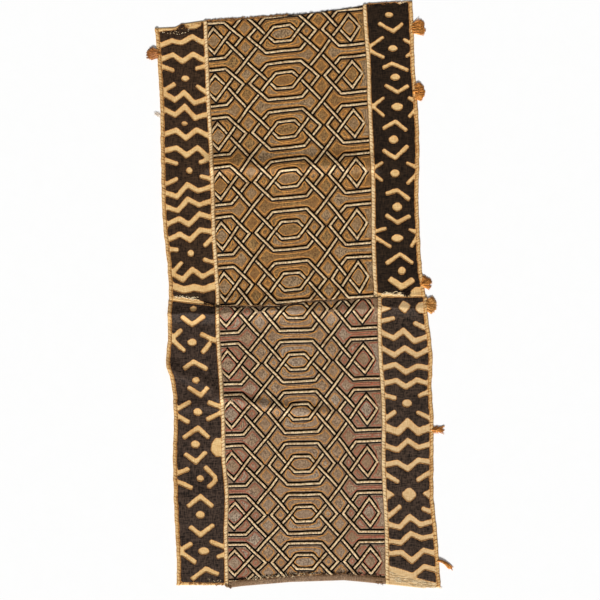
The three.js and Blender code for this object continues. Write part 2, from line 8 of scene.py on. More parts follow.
import logging
import math
from dataclasses import dataclass, field
from enum import Enum
from typing import Callable, Iterable, NamedTuple

import bpy
import numpy as np
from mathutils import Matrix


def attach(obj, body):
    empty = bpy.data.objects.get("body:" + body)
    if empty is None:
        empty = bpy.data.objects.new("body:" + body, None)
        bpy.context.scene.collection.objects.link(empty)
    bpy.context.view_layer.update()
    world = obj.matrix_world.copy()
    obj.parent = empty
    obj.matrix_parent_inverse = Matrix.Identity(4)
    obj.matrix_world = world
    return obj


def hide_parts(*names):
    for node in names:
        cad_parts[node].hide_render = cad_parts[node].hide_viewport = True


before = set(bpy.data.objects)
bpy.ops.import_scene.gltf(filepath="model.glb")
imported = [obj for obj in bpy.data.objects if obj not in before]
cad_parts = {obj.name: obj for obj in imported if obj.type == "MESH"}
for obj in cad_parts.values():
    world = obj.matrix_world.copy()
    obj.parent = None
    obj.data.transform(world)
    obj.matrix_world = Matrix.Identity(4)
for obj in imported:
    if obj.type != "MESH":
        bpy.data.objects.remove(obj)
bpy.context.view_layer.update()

MM = 0.001

log = logging.getLogger("kuba_cloth")

Array = np.ndarray
Pair = tuple[np.ndarray, np.ndarray]
Piece = bpy.types.Object
Material = bpy.types.Material
Socket = bpy.types.NodeSocket
Colour = tuple[float, float, float]
Point = tuple[float, float]
Row = tuple[float, float, float]


class Half(Enum):
    """Which of the two joined lengths a piece belongs to."""

    UPPER = "upper"
    LOWER = "lower"


class Side(Enum):
    """Which border a piece belongs to. The value points from the outer hem into the cloth."""

    LEFT = 1
    RIGHT = -1


class SideRow(NamedTuple):
    """Side edges at one place down the cloth."""

    down: float
    outer_left: float
    inner_left: float
    inner_right: float
    outer_right: float


class Crease(NamedTuple):
    """A soft ridge with a straight crest, with its own width above and below the crest."""

    x0: float
    down0: float
    x1: float
    down1: float
    high0: float
    high1: float
    above: float
    below: float
    fade: float
    sharp: float = 0.0


SIDES: dict[Half, tuple[SideRow, ...]] = {
    Half.UPPER: (
        SideRow(0, -315, -207, 147, 252),
        SideRow(57, -312, -203, 150, 255),
        SideRow(136, -306, -200, 156, 257),
        SideRow(216, -301, -197, 158, 263),
        SideRow(321, -299, -191, 163, 268),
        SideRow(427, -297, -187, 167, 266),
        SideRow(506, -293, -185, 167, 268),
        SideRow(585, -284, -180, 169, 273),
        SideRow(651, -281, -176, 172, 281),
        SideRow(700, -281, -176, 172, 284),
    ),
    Half.LOWER: (
        SideRow(630, -282, -175, 181, 284),
        SideRow(691, -284, -176, 180, 286),
        SideRow(744, -284, -175, 181, 293),
        SideRow(796, -288, -172, 183, 297),
        SideRow(849, -275, -168, 187, 295),
        SideRow(928, -271, -164, 190, 299),
        SideRow(1008, -273, -163, 189, 299),
        SideRow(1087, -271, -156, 192, 299),
        SideRow(1166, -268, -158, 196, 306),
        SideRow(1245, -264, -157, 197, 312),
        SideRow(1300, -266, -156, 198, 315),
    ),
}
TOP_EDGE: tuple[Point, ...] = (
    (-330, 63), (-268, 60), (-255, 53), (-207, 46), (-136, 41), (-59, 35), (7, 30),
    (106, 18), (153, 9), (183, 7), (275, 2),
)
BOTTOM_EDGE: tuple[Point, ...] = (
    (-290, 1287), (-158, 1287), (-150, 1293), (-121, 1289), (-15, 1280), (103, 1276),
    (189, 1284), (235, 1289), (270, 1293), (330, 1291),
)
SEAM: tuple[Point, ...] = (
    (-330, 656), (-281, 660), (-176, 673), (-42, 673), (18, 662), (108, 658), (176, 653), (330, 652),
)
DARK_LAST_EDGE: tuple[Point, ...] = ((190, 1249), (242, 1264), (254, 1268), (320, 1285))
CREASES = (
    Crease(-215, 371, 195, 365, 8.0, 7.6, 42, 19, 24),
    Crease(-330, 693, 330, 675, 10.5, 4.2, 28, 25, 1, sharp=1.0),
    Crease(-200, 872, 100, 916, 7.5, 3.6, 20, 16, 34),
    Crease(-310, 800, -155, 864, 4.5, 4.5, 28, 22, 16),
    Crease(-300, 898, -160, 890, 2.5, 2.5, 20, 20, 20),
)
LOWEST_CORNER: Point = (-150, 1293)

PANEL_THICK = 1.5
GROUND_THICK = 1.2
DARK_LOW = 1.5
DARK_THICK = 0.9
OUTER_HEM = 8.5
INNER_HEM = 10.5
BAND_HALF = 5.5
GAP = 0.3
SEAM_LAP = 10.0
SEAM_RAMP = 14.0
SEAM_LIFT = 2.4
ROW_PITCH = 8.0
NEAR_SEAM = 660.0
PLAIN = "plain_raffia"
ROUGH_TOP = 40
ROUGH_LONG = 1200
SETTLE = 3
DARK_SINK = 0.15


class Marks(NamedTuple):
    """Places down a border where its width is taken: for its margins, its flat size and its columns."""

    head: float
    foot: float
    flat: Point
    middle: float


MARKS = {
    Half.UPPER: Marks(60.0, 650.0, (80.0, 640.0), 300.0),
    Half.LOWER: Marks(1260.0, 1260.0, (680.0, 1280.0), 900.0),
}


def smooth(value: Array, low: float, high: float) -> Array:
    """Smooth step from 0 at low to 1 at high."""
    t = np.clip((value - low) / (high - low), 0, 1)
    return t * t * (3 - 2 * t)


def edge_at(edge: Iterable[Point], x: Array) -> Array:
    """Place down the cloth of a plain edge line, at x."""
    rows = np.array(list(edge), float)
    return np.interp(x, rows[:, 0], rows[:, 1])


def ripple(x: Array, down: Array, wave: float, seed: float = 0.0) -> Array:
    """Smooth uneven field of about -1 to 1, made of a few crossing waves.

    Args:
        x: Places across.
        down: Places down.
        wave: Main wavelength.
        seed: Shifts the field, so that two fields differ.

    Returns:
        The field at those places.
    """
    k = 2 * math.pi / wave
    total = np.sin(k * (x + 0.31 * down) + 1.3 + seed) + np.sin(k * (0.43 * x - down) + 2.7 * seed)
    total = total + np.sin(k * (1.57 * x - 0.83 * down) + 5.1 + seed) * 0.7
    return (total + np.sin(k * (0.91 * x + 1.71 * down) + 0.6 - seed) * 0.7) / 3.4


class Lie:
    """How the cloth lies: its edges, its creases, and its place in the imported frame."""

    def __init__(self, panel_node: str) -> None:
        """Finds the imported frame's shift from the lowest corner of the lower panel's solid.

        Args:
            panel_node: Node of the lower panel.
        """
        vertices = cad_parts[panel_node].data.vertices
        corner = min(vertices, key=lambda v: (round(v.co.y, 6), v.co.x)).co
        self.shift = (corner.x - LOWEST_CORNER[0] * MM, corner.y + LOWEST_CORNER[1] * MM)

    def side(self, half: Half, column: str, down: Array) -> Array:
        """x of one side edge, as a smooth curve through its rows.

        Args:
            half: Which length of the cloth.
            column: Field of SideRow.
            down: Places down the cloth.

        Returns:
            x at each place.
        """
        rows = SIDES[half]
        at = np.array([r.down for r in rows], float)
        value = np.array([getattr(r, column) for r in rows], float)
        after = np.minimum(np.arange(len(at)) + 1, len(at) - 1)
        before = np.maximum(np.arange(len(at)) - 1, 0)
        slope = (value[after] - value[before]) / (at[after] - at[before])
        i = np.clip(np.searchsorted(at, down, side="right") - 1, 0, len(at) - 2)
        step = at[i + 1] - at[i]
        t = np.clip((down - at[i]) / step, 0, 1)
        rise = value[i + 1] - value[i]
        bulge = (slope[i] * step - rise) * (1 - t) + (rise - slope[i + 1] * step) * t
        return value[i] + rise * t + bulge * t * (1 - t)

    def lift(self, x: Array, down: Array) -> Array:
        """Height of the cloth's underside over the surface: creases and slight cockling.

        Args:
            x: Places across.
            down: Places down.

        Returns:
            Heights.
        """
        x, down = np.broadcast_arrays(np.asarray(x, float), np.asarray(down, float))
        total = np.zeros(x.shape)
        for c in CREASES:
            length = math.hypot(c.x1 - c.x0, c.down1 - c.down0)
            ux, ud = (c.x1 - c.x0) / length, (c.down1 - c.down0) / length
            s = (x - c.x0) * ux + (down - c.down0) * ud
            wander = 1.6 * np.sin(s / 37.0) + 1.0 * np.sin(s / 14.0 + 1)
            off = (down - c.down0) * ux - (x - c.x0) * ud + wander
            ends = smooth(np.minimum(s, length - s), 0, c.fade)
            high = c.high0 + (c.high1 - c.high0) * s / length
            uneven = 1 + 0.16 * np.sin(s / 23.0 + 2) + 0.08 * np.sin(s / 9.0)
            share = np.clip(np.abs(off) / np.where(off > 0, c.below, c.above), 0, 1)
            soft = np.cos(share * math.pi / 2) ** 2
            ridge = soft + c.sharp * ((1 - share) ** 1.5 - soft)
            total = total + high * ends * uneven * ridge
        cockle = np.clip(0.45 + 0.75 * ripple(x, down, 210.0) + 0.35 * ripple(x, down, 74.0, 2.0), 0, None)
        return total + cockle * smooth(down - edge_at(TOP_EDGE, x), 0, 22)

    def place(self, x: Array, down: Array, z: Array) -> Array:
        """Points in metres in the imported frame.

        Args:
            x: Places across.
            down: Places down.
            z: Heights over the surface.

        Returns:
            An array of points, one row each.
        """
        x, down, z = np.broadcast_arrays(x, down, z)
        return np.stack(
            [x.ravel() * MM + self.shift[0], -down.ravel() * MM + self.shift[1], z.ravel() * MM], axis=1
        )


def put(name: str, data: bpy.types.ID) -> Piece:
    """Puts a new object in the scene.

    Args:
        name: Name of the object.
        data: Its mesh, light or camera.

    Returns:
        The object.
    """
    item = bpy.data.objects.new(name, data)
    bpy.context.scene.collection.objects.link(item)
    return item


class Skin:
    """Vertices, faces and finishes of one piece, gathered part by part."""

    def __init__(self) -> None:
        """Starts empty."""
        self.points: list[Array] = []
        self.faces: list[tuple[int, ...]] = []
        self.finish: list[int] = []
        self.count = 0

    def add(self, points: Array, faces: Iterable[Iterable[int]]) -> None:
        """Adds a part of one finish, whose faces number its own points from 0.

        Args:
            points: Points in metres, one row each.
            faces: Each face's points.
        """
        base = self.count
        self.points.append(points)
        self.count += len(points)
        new = [tuple(int(i) + base for i in f) for f in faces]
        self.faces.extend(new)
        self.finish.extend([0] * len(new))

    def grid(self, top: Array, low: Array, rows: int, columns: int, finish: Array) -> None:
        """Adds a closed sheet of two like grids.

        Args:
            top: Points of the upper face, row by row.
            low: Points of the underside, row by row.
            rows: Number of rows.
            columns: Number of points in a row.
            finish: Finish of each upper face, shaped rows - 1 by columns - 1.
        """
        base, half = self.count, rows * columns
        self.points.append(np.concatenate([top, low]))
        self.count += 2 * half
        a = (np.arange(rows - 1)[:, None] * columns + np.arange(columns - 1)[None, :]).ravel() + base
        upper = np.stack([a, a + columns, a + columns + 1, a + 1], axis=1)
        lower = np.stack([a + 1, a + columns + 1, a + columns, a], axis=1) + half
        left = np.arange(rows - 1) * columns + base
        right = left + columns - 1
        head = np.arange(columns - 1) + base
        foot = head + (rows - 1) * columns
        walls = [
            np.stack([left, left + half, left + columns + half, left + columns], axis=1),
            np.stack([right, right + columns, right + columns + half, right + half], axis=1),
            np.stack([head + 1, head + 1 + half, head + half, head], axis=1),
            np.stack([foot, foot + half, foot + 1 + half, foot + 1], axis=1),
        ]
        wall = np.concatenate(walls)
        self.faces.extend(map(tuple, np.concatenate([upper, lower, wall]).tolist()))
        plain = int(finish.ravel()[0])
        self.finish.extend(finish.ravel().astype(int).tolist() + [plain] * (len(lower) + len(wall)))

    def sweep(self, rings: Array, finish: Iterable[int], closed: bool = False) -> None:
        """Adds a closed strip or tube through rings of points.

        Args:
            rings: Points shaped ring by point by 3, each ring going round the section.
            finish: Finish of each face round the section.
            closed: Whether the last ring joins the first.
        """
        count, around = rings.shape[:2]
        last = count if closed else count - 1
        base = self.count
        self.points.append(rings.reshape(-1, 3))
        self.count += count * around
        for k, look in enumerate(finish):
            n = (k + 1) % around
            i = np.arange(last)
            j = (i + 1) % count
            quads = np.stack([i * around + k, i * around + n, j * around + n, j * around + k], axis=1) + base
            self.faces.extend(map(tuple, quads.tolist()))
            self.finish.extend([look] * last)
        if not closed:
            start = tuple(base + k for k in reversed(range(around)))
            end = tuple(base + (count - 1) * around + k for k in range(around))
            self.faces.extend([start, end])
            self.finish.extend([next(iter(finish))] * 2)

    def make(self, name: str, finishes: Iterable[Material]) -> Piece:
        """Makes the piece.

        Args:
            name: Name of the new piece.
            finishes: Materials, in the order that the faces number them.

        Returns:
            The new object, linked to the scene.
        """
        mesh = bpy.data.meshes.new(name)
        mesh.from_pydata(np.concatenate(self.points).tolist(), [], self.faces)
        for material in finishes:
            mesh.materials.append(material)
        mesh.polygons.foreach_set("material_index", self.finish)
        mesh.polygons.foreach_set("use_smooth", [True] * len(mesh.polygons))
        mesh.update()
        return put(name, mesh)


class Tree:
    """Adds shader nodes to one material."""

    def __init__(self, name: str, roughness: float, sheen: float, specular: float) -> None:
        """Starts a material with its plain numbers set on the shader itself.

        Args:
            name: Name of the material.
            roughness: Its roughness.
            sheen: Weight of its sheen.
            specular: Level of its highlights.
        """
        self.material = bpy.data.materials.new(name)
        self.material.use_nodes = True
        self.nodes = self.material.node_tree.nodes
        self.links = self.material.node_tree.links
        self.shader = self.nodes["Principled BSDF"]
        self.shader.inputs["Roughness"].default_value = roughness
        self.shader.inputs["Sheen Weight"].default_value = sheen
        self.shader.inputs["Sheen Roughness"].default_value = 0.6
        self.shader.inputs["Specular IOR Level"].default_value = specular
        self.place = self.nodes.new("ShaderNodeTexCoord").outputs["Object"]

    def noise(self, scale: Colour, detail: float = 3.0, rough: float = 0.55) -> Socket:
        """Noise with its own scale along each direction, in waves to a metre.

        Args:
            scale: Waves to a metre along x, y and z.
            detail: Octaves.
            rough: Share that each octave keeps.

        Returns:
            Values of about 0 to 1.
        """
        mapping = self.nodes.new("ShaderNodeMapping")
        mapping.inputs["Scale"].default_value = scale
        self.links.new(self.place, mapping.inputs["Vector"])
        noise = self.nodes.new("ShaderNodeTexNoise")
        noise.inputs["Scale"].default_value = 1.0
        noise.inputs["Detail"].default_value = detail
        noise.inputs["Roughness"].default_value = rough
        self.links.new(mapping.outputs["Vector"], noise.inputs["Vector"])
        return noise.outputs["Fac"]

    def spread(self, value: Socket, low: float, high: float) -> Socket:
        """Stretches values between low and high to the range from 0 to 1.

        Args:
            value: Values.
            low: What becomes 0.
            high: What becomes 1.

        Returns:
            The stretched values.
        """
        node = self.nodes.new("ShaderNodeMapRange")
        node.inputs["From Min"].default_value = low
        node.inputs["From Max"].default_value = high
        self.links.new(value, node.inputs["Value"])
        return node.outputs["Result"]

    def join(self, kind: str, a: Socket, b: Socket | float) -> Socket:
        """Math of two values, such as ADD or MULTIPLY.

        Args:
            kind: Name of the operation.
            a: First value.
            b: Second value.

        Returns:
            The result.
        """
        node = self.nodes.new("ShaderNodeMath")
        node.operation = kind
        self.links.new(a, node.inputs[0])
        if isinstance(b, float):
            node.inputs[1].default_value = b
        else:
            self.links.new(b, node.inputs[1])
        return node.outputs["Value"]

    def mix(self, share: Socket, a: Colour | Socket, b: Colour | Socket) -> Socket:
        """Mixes two colours by a share from 0 to 1.

        Args:
            share: Share of the second colour.
            a: First colour.
            b: Second colour.

        Returns:
            The mixed colour.
        """
        node = self.nodes.new("ShaderNodeMix")
        node.data_type = "RGBA"
        self.links.new(share, node.inputs[0])
        for socket, colour in ((node.inputs[6], a), (node.inputs[7], b)):
            if isinstance(colour, tuple):
                socket.default_value = (*colour, 1)
            else:
                self.links.new(colour, socket)
        return node.outputs[2]

    def finish(self, colour: Socket, height: Socket, deep: float) -> Material:
        """Links the colour and the bump, and returns the material.

        Args:
            colour: Surface colour.
            height: Bump height from 0 to 1.
            deep: Real depth of the bump.

        Returns:
            The finished material.
        """
        self.links.new(colour, self.shader.inputs["Base Color"])
        bump = self.nodes.new("ShaderNodeBump")
        bump.inputs["Strength"].default_value = 1.0
        bump.inputs["Distance"].default_value = deep * MM
        self.links.new(height, bump.inputs["Height"])
        self.links.new(bump.outputs["Normal"], self.shader.inputs["Normal"])
        return self.material


def linear(red: int, green: int, blue: int) -> Colour:
    """Shader colour of a colour that is given as it looks on a screen, 0 to 255."""
    share = [c / 255 for c in (red, green, blue)]
    return tuple(c / 12.92 if c <= 0.04045 else ((c + 0.055) / 1.055) ** 2.4 for c in share)


@dataclass(frozen=True)
class WovenRaffia:
    """Plain woven raffia: thread streaks both ways, mottling and stains."""

    name: str
    light: Colour
    shade: Colour
    stain: Colour
    stain_share: float = 0.35
    thread: float = 0.9
    roughness: float = 0.82
    sheen: float = 0.03
    specular: float = 0.12
    streak: float = 14.0

    def material(self) -> Material:
        """Makes the material.

        Returns:
            The material.
        """
        tree = Tree(self.name, self.roughness, self.sheen, self.specular)
        fine = 1000 / self.thread
        warp = tree.noise((fine, fine / self.streak, fine), 2.0)
        weft = tree.noise((fine / self.streak, fine, fine), 2.0)
        cloud = tree.noise((22.0, 16.0, 22.0), 4.0)
        threads = tree.join("ADD", warp, weft)
        body = tree.mix(tree.spread(threads, 0.78, 1.22), self.shade, self.light)
        worn = tree.join("MULTIPLY", tree.spread(cloud, 0.5, 0.72), self.stain_share)
        return tree.finish(tree.mix(worn, body, self.stain), threads, 0.5)


@dataclass(frozen=True)
class DarkRaffia(WovenRaffia):
    """Raffia that is dyed dark, with long streaks and little shine."""

    thread: float = 1.7
    roughness: float = 0.52
    sheen: float = 0.0
    specular: float = 0.09
    streak: float = 7.0


@dataclass(frozen=True)
class PileRaffia:
    """Ribbed pile of the embroidered ground: short upright stitches in rows."""

    name: str
    light: Colour
    shade: Colour
    warm: Colour
    roughness: float = 0.5
    specular: float = 0.32

    def material(self) -> Material:
        """Makes the material.

        Returns:
            The material.
        """
        tree = Tree(self.name, self.roughness, 0.02, self.specular)
        ticks = tree.noise((460.0, 170.0, 460.0), 3.0, 0.7)
        rows = tree.noise((280.0, 420.0, 280.0), 3.0, 0.7)
        cloud = tree.noise((10.0, 14.0, 10.0), 4.0, 0.6)
        height = tree.join("ADD", ticks, rows)
        body = tree.mix(tree.spread(height, 0.88, 1.12), self.shade, self.light)
        tint = tree.join("MULTIPLY", tree.spread(cloud, 0.42, 0.6), 0.62)
        return tree.finish(tree.mix(tint, body, self.warm), height, 1.2)


@dataclass(frozen=True)
class Thread:
    """Laid raffia thread: streaks across the run of the stitches."""

    name: str
    light: Colour
    shade: Colour
    roughness: float = 0.54
    sheen: float = 0.02
    specular: float = 0.3

    def material(self) -> Material:
        """Makes the material.

        Returns:
            The material.
        """
        tree = Tree(self.name, self.roughness, self.sheen, self.specular)
        fibre = tree.noise((300.0, 300.0, 300.0), 3.0, 0.7)
        cloud = tree.noise((60.0, 60.0, 60.0), 3.0)
        body = tree.mix(tree.spread(fibre, 0.4, 0.56), self.shade, self.light)
        pale = tree.mix(tree.spread(cloud, 0.5, 0.8), body, self.shade)
        return tree.finish(pale, fibre, 0.35)


CREAM = WovenRaffia(
    "cream_raffia", linear(240, 205, 146), linear(204, 158, 96), linear(182, 124, 62), stain_share=0.45
)
CREAM_COOL = WovenRaffia(
    "cream_raffia_cool", linear(230, 198, 148), linear(198, 158, 106), linear(176, 126, 74)
)
HEM = WovenRaffia(
    "hem_raffia", linear(236, 200, 142), linear(196, 150, 90), linear(170, 112, 52), stain_share=0.5
)
INNER_HEM_RAFFIA = WovenRaffia(
    "inner_hem_raffia", linear(254, 230, 182), linear(226, 186, 128), linear(196, 142, 82), stain_share=0.4
)
# Painted shade: a darker amber that stands for the shade on the low, sloping sides of each rolled hem.
FLANK_SHADE = WovenRaffia(
    "hem_flank_raffia", linear(214, 162, 94), linear(160, 106, 50), linear(132, 82, 36), stain_share=0.5
)
DARK_LEFT_UPPER = DarkRaffia(
    "dark_raffia_left_upper", linear(74, 54, 38), linear(24, 16, 10), linear(24, 16, 10)
)
DARK_LEFT_LOWER = DarkRaffia(
    "dark_raffia_left_lower", linear(81, 64, 53), linear(18, 12, 8), linear(22, 15, 11)
)
DARK_RIGHT_UPPER = DarkRaffia(
    "dark_raffia_right_upper", linear(54, 40, 28), linear(17, 11, 7), linear(20, 13, 8)
)
DARK_RIGHT_LOWER = DarkRaffia(
    "dark_raffia_right_lower", linear(80, 63, 51), linear(18, 13, 9), linear(23, 16, 12)
)
GROUND_UPPER = PileRaffia("ground_upper", linear(162, 118, 64), linear(88, 60, 30), linear(146, 95, 38))
GREY_PILE_UPPER = PileRaffia(
    "grey_pile_upper", linear(176, 145, 107), linear(80, 60, 39), linear(136, 99, 55)
)
WARM_PILE_UPPER = PileRaffia(
    "warm_pile_upper", linear(168, 129, 74), linear(75, 52, 27), linear(132, 87, 38)
)
GROUND_LOWER = PileRaffia("ground_lower", linear(164, 133, 103), linear(99, 75, 53), linear(135, 100, 65))
GREY_PILE_LOWER = PileRaffia(
    "grey_pile_lower", linear(182, 160, 134), linear(92, 73, 57), linear(142, 110, 80)
)
WARM_PILE_LOWER = PileRaffia(
    "warm_pile_lower", linear(175, 146, 114), linear(88, 66, 48), linear(135, 102, 69)
)
BLACK = Thread(
    "black_thread", linear(22, 14, 8), linear(10, 6, 3), roughness=0.6, sheen=0.0, specular=0.06
)
CREAM_THREAD = Thread("cream_thread", linear(238, 210, 164), linear(150, 112, 70))
OCHRE_THREAD = Thread("ochre_thread", linear(216, 153, 74), linear(156, 101, 42))
RUSSET_THREAD = Thread("russet_thread", linear(180, 98, 68), linear(130, 68, 46))
AMBER_THREAD = Thread("amber_thread", linear(184, 120, 54), linear(116, 68, 28), roughness=0.75)
# Amber of the tubes along the cut edges, painted shade there; the corner frays use it too.
RIM_THREAD = Thread("rim_thread", linear(206, 148, 80), linear(138, 88, 40), roughness=0.75)
FRAY_THREAD = Thread("fray_thread", linear(140, 98, 56), linear(60, 38, 22), roughness=0.8)
TOP_FRAY = Thread("top_fray_thread", linear(192, 138, 78), linear(104, 66, 34), roughness=0.8)
DARK_FRAY = Thread("dark_fray_thread", linear(52, 34, 22), linear(22, 14, 9), roughness=0.85, specular=0.05)
STRAW = Thread("straw_thread", linear(248, 224, 180), linear(206, 168, 116), roughness=0.75)
PALE_FRAY = Thread("pale_fray_thread", linear(255, 238, 200), linear(228, 190, 134), roughness=0.75)
TUFT_THREAD = Thread("tuft_thread", linear(250, 236, 218), linear(222, 202, 180), roughness=0.75)
TASSEL_THREAD = Thread("tassel_thread", linear(240, 164, 78), linear(178, 106, 40))
LEFT_TASSEL = Thread("left_tassel_thread", linear(190, 124, 58), linear(138, 80, 30))
PALE_TASSEL = Thread("pale_tassel_thread", linear(242, 180, 100), linear(184, 116, 50))


class RunKind(Enum):
    """The two kinds of run in the interlace."""

    LOOP = "loop"
    STRAND = "strand"


class Run(NamedTuple):
    """One run of the interlace, in lattice units from the middle of its row."""

    kind: RunKind
    closed: bool
    corners: tuple[Point, ...]


def runs(loop: float, ring: float) -> tuple[Run, ...]:
    """The runs of one row.

    Args:
        loop: Half height of the closed loops, in lattice units.
        ring: Half height of the small six-sided field between two rows, in lattice units.

    Returns:
        The middle loop, the two half loops at the sides, and the long strand.
    """
    far = ROW_PITCH + ring
    return (
        Run(
            RunKind.LOOP,
            True,
            ((-5.5, 0), (-2.7, -loop), (2.8, -loop), (5.5, 0), (2.8, loop), (-2.7, loop)),
        ),
        Run(RunKind.LOOP, False, ((13.3, -loop), (9, -loop), (6.5, 0), (9, loop), (13.3, loop))),
        Run(RunKind.LOOP, False, ((-12.4, -loop), (-9.4, -loop), (-6.5, 0), (-9.4, loop), (-12.4, loop))),
        Run(
            RunKind.STRAND,
            False,
            (
                (-12.4, 0.7), (-11.2, 2.1), (-6, -4), (-1.3, -far), (1.35, -far), (6, -4), (10.8, 2.2),
                (12.4, 0), (10.8, -2.2), (6, 4), (1.35, far), (-1.3, far), (-6, 4), (-11.2, -2.1),
                (-12.4, -0.7),
            ),
        ),
    )


def bent(value: Array, knots: Iterable, results: Iterable) -> Array:
    """Three straight stretches through four knots, the outer two going on past their ends.

    Args:
        value: Values to change.
        knots: Four values, rising.
        results: What they become.

    Returns:
        The changed values.
    """
    k0, k1, k2, k3 = knots
    r0, r1, r2, r3 = results
    first = r0 + (r1 - r0) * (value - k0) / (k1 - k0)
    middle = r1 + (r2 - r1) * (value - k1) / (k2 - k1)
    last = r2 + (r3 - r2) * (value - k2) / (k3 - k2)
    return np.where(value < k1, first, np.where(value > k2, last, middle))


@dataclass(frozen=True)
class Chart:
    """Places the interlace's lattice on one panel."""

    half: Half
    rows: tuple[float, ...]
    stars: tuple[Row, ...]
    slopes: tuple[Point, ...]
    droop: tuple[Point, ...]
    loop: float
    ring: float
    lattice: tuple[float, ...] = (-12.2, -6.0, 6.0, 12.9)
    uneven: float = 0.8
    droop_from: float = 0.66
    droop_to: float = 0.95

    def edges(self, lie: Lie, down: Array) -> Pair:
        """Left and right edges of the panel."""
        left = lie.side(self.half, "inner_left", down) + BAND_HALF + GAP / 2
        return left, lie.side(self.half, "inner_right", down) - BAND_HALF - GAP / 2

    def marks(self, down: Array) -> tuple[float, Array, Array, float]:
        """Shares of the panel's width at the lattice's own four columns."""
        at, left, right = zip(*self.stars)
        return 0.0, np.interp(down, at, left), np.interp(down, at, right), 1.0

    def share(self, across: Array, down: Array) -> Array:
        """Share of the panel's width at a lattice column, between its edges and its two star columns."""
        return bent(across, self.lattice, self.marks(down))

    def column(self, share: Array, down: Array) -> Array:
        """Lattice column at a share of the panel's width, the other way round from share."""
        return bent(share, self.marks(down), self.lattice)

    def rise(self, share: Array, down: Array, wide: Array) -> Array:
        """How far a row has climbed at a share of the width, in mm. It flattens at the right.

        Args:
            share: Shares of the panel's width.
            down: Places down.
            wide: Width of the panel.

        Returns:
            Rises.
        """
        middle = self.share(np.array(0.0), down)
        at, low = zip(*self.droop)
        sag = np.interp(down, at, low) * smooth(share, self.droop_from, self.droop_to)
        return self.tilt(down) * (share - middle) * wide - sag

    def tilt(self, down: Array) -> Array:
        """Rise of the rows to the right, as a slope."""
        at, degrees = zip(*self.slopes)
        return np.tan(np.radians(np.interp(down, at, degrees)))

    def to_cloth(self, lie: Lie, across: Array, below: Array) -> Pair:
        """Lattice places as x and down on the cloth.

        Args:
            lie: How the cloth lies.
            across: Lattice units from the middle column.
            below: Lattice units below the first row's middle.

        Returns:
            x and down.
        """
        marks = (np.arange(len(self.rows)) - 1) * ROW_PITCH
        base = np.interp(below, marks, self.rows)
        share = self.share(across, base)
        left, right = self.edges(lie, base)
        down = base - self.rise(share, base, right - left)
        left, right = self.edges(lie, down)
        x = left + share * (right - left)
        return (
            x + self.uneven * ripple(x, down, 83.0, 1.0),
            down + self.uneven * ripple(x, down, 97.0, 3.0),
        )

    def to_lattice(self, lie: Lie, x: Array, down: Array) -> Pair:
        """Lattice units of places on the cloth, near enough to tell one field from another.

        Args:
            lie: How the cloth lies.
            x: Places across.
            down: Places down.

        Returns:
            Lattice units from the middle column, and below the first row's middle.
        """
        marks = (np.arange(len(self.rows)) - 1) * ROW_PITCH
        left, right = self.edges(lie, down)
        share = (x - left) / (right - left)
        base = down + self.rise(share, down, right - left)
        return self.column(share, down), np.interp(base, self.rows, marks)


CHARTS = {
    Half.UPPER: Chart(
        Half.UPPER,
        (-29, 74, 176, 284, 393, 505, 619, 735),
        ((0, 0.238, 0.718), (650, 0.238, 0.718)),
        ((73, 6.3), (350, 6.3), (503, 5.6), (619, 4.4)),
        ((73, 3.0), (284, 4.5), (393, 2.5), (619, 1.5)),
        3.0,
        1.3,
    ),
    Half.LOWER: Chart(
        Half.LOWER,
        (574, 682, 796, 905, 1021, 1131, 1236, 1338),
        ((680, 0.259, 0.710), (860, 0.259, 0.712), (1000, 0.260, 0.721), (1290, 0.260, 0.724)),
        ((685, 1.9), (796, 2.5), (1021, 2.0), (1234, 0.9)),
        ((685, 0.0), (1234, 0.0)),
        3.15,
        1.2,
    ),
}


@dataclass
class Lane:
    """One run of the interlace laid on the cloth: its samples and how far it rises at each."""

    x: Array
    down: Array
    rise: Array
    closed: bool


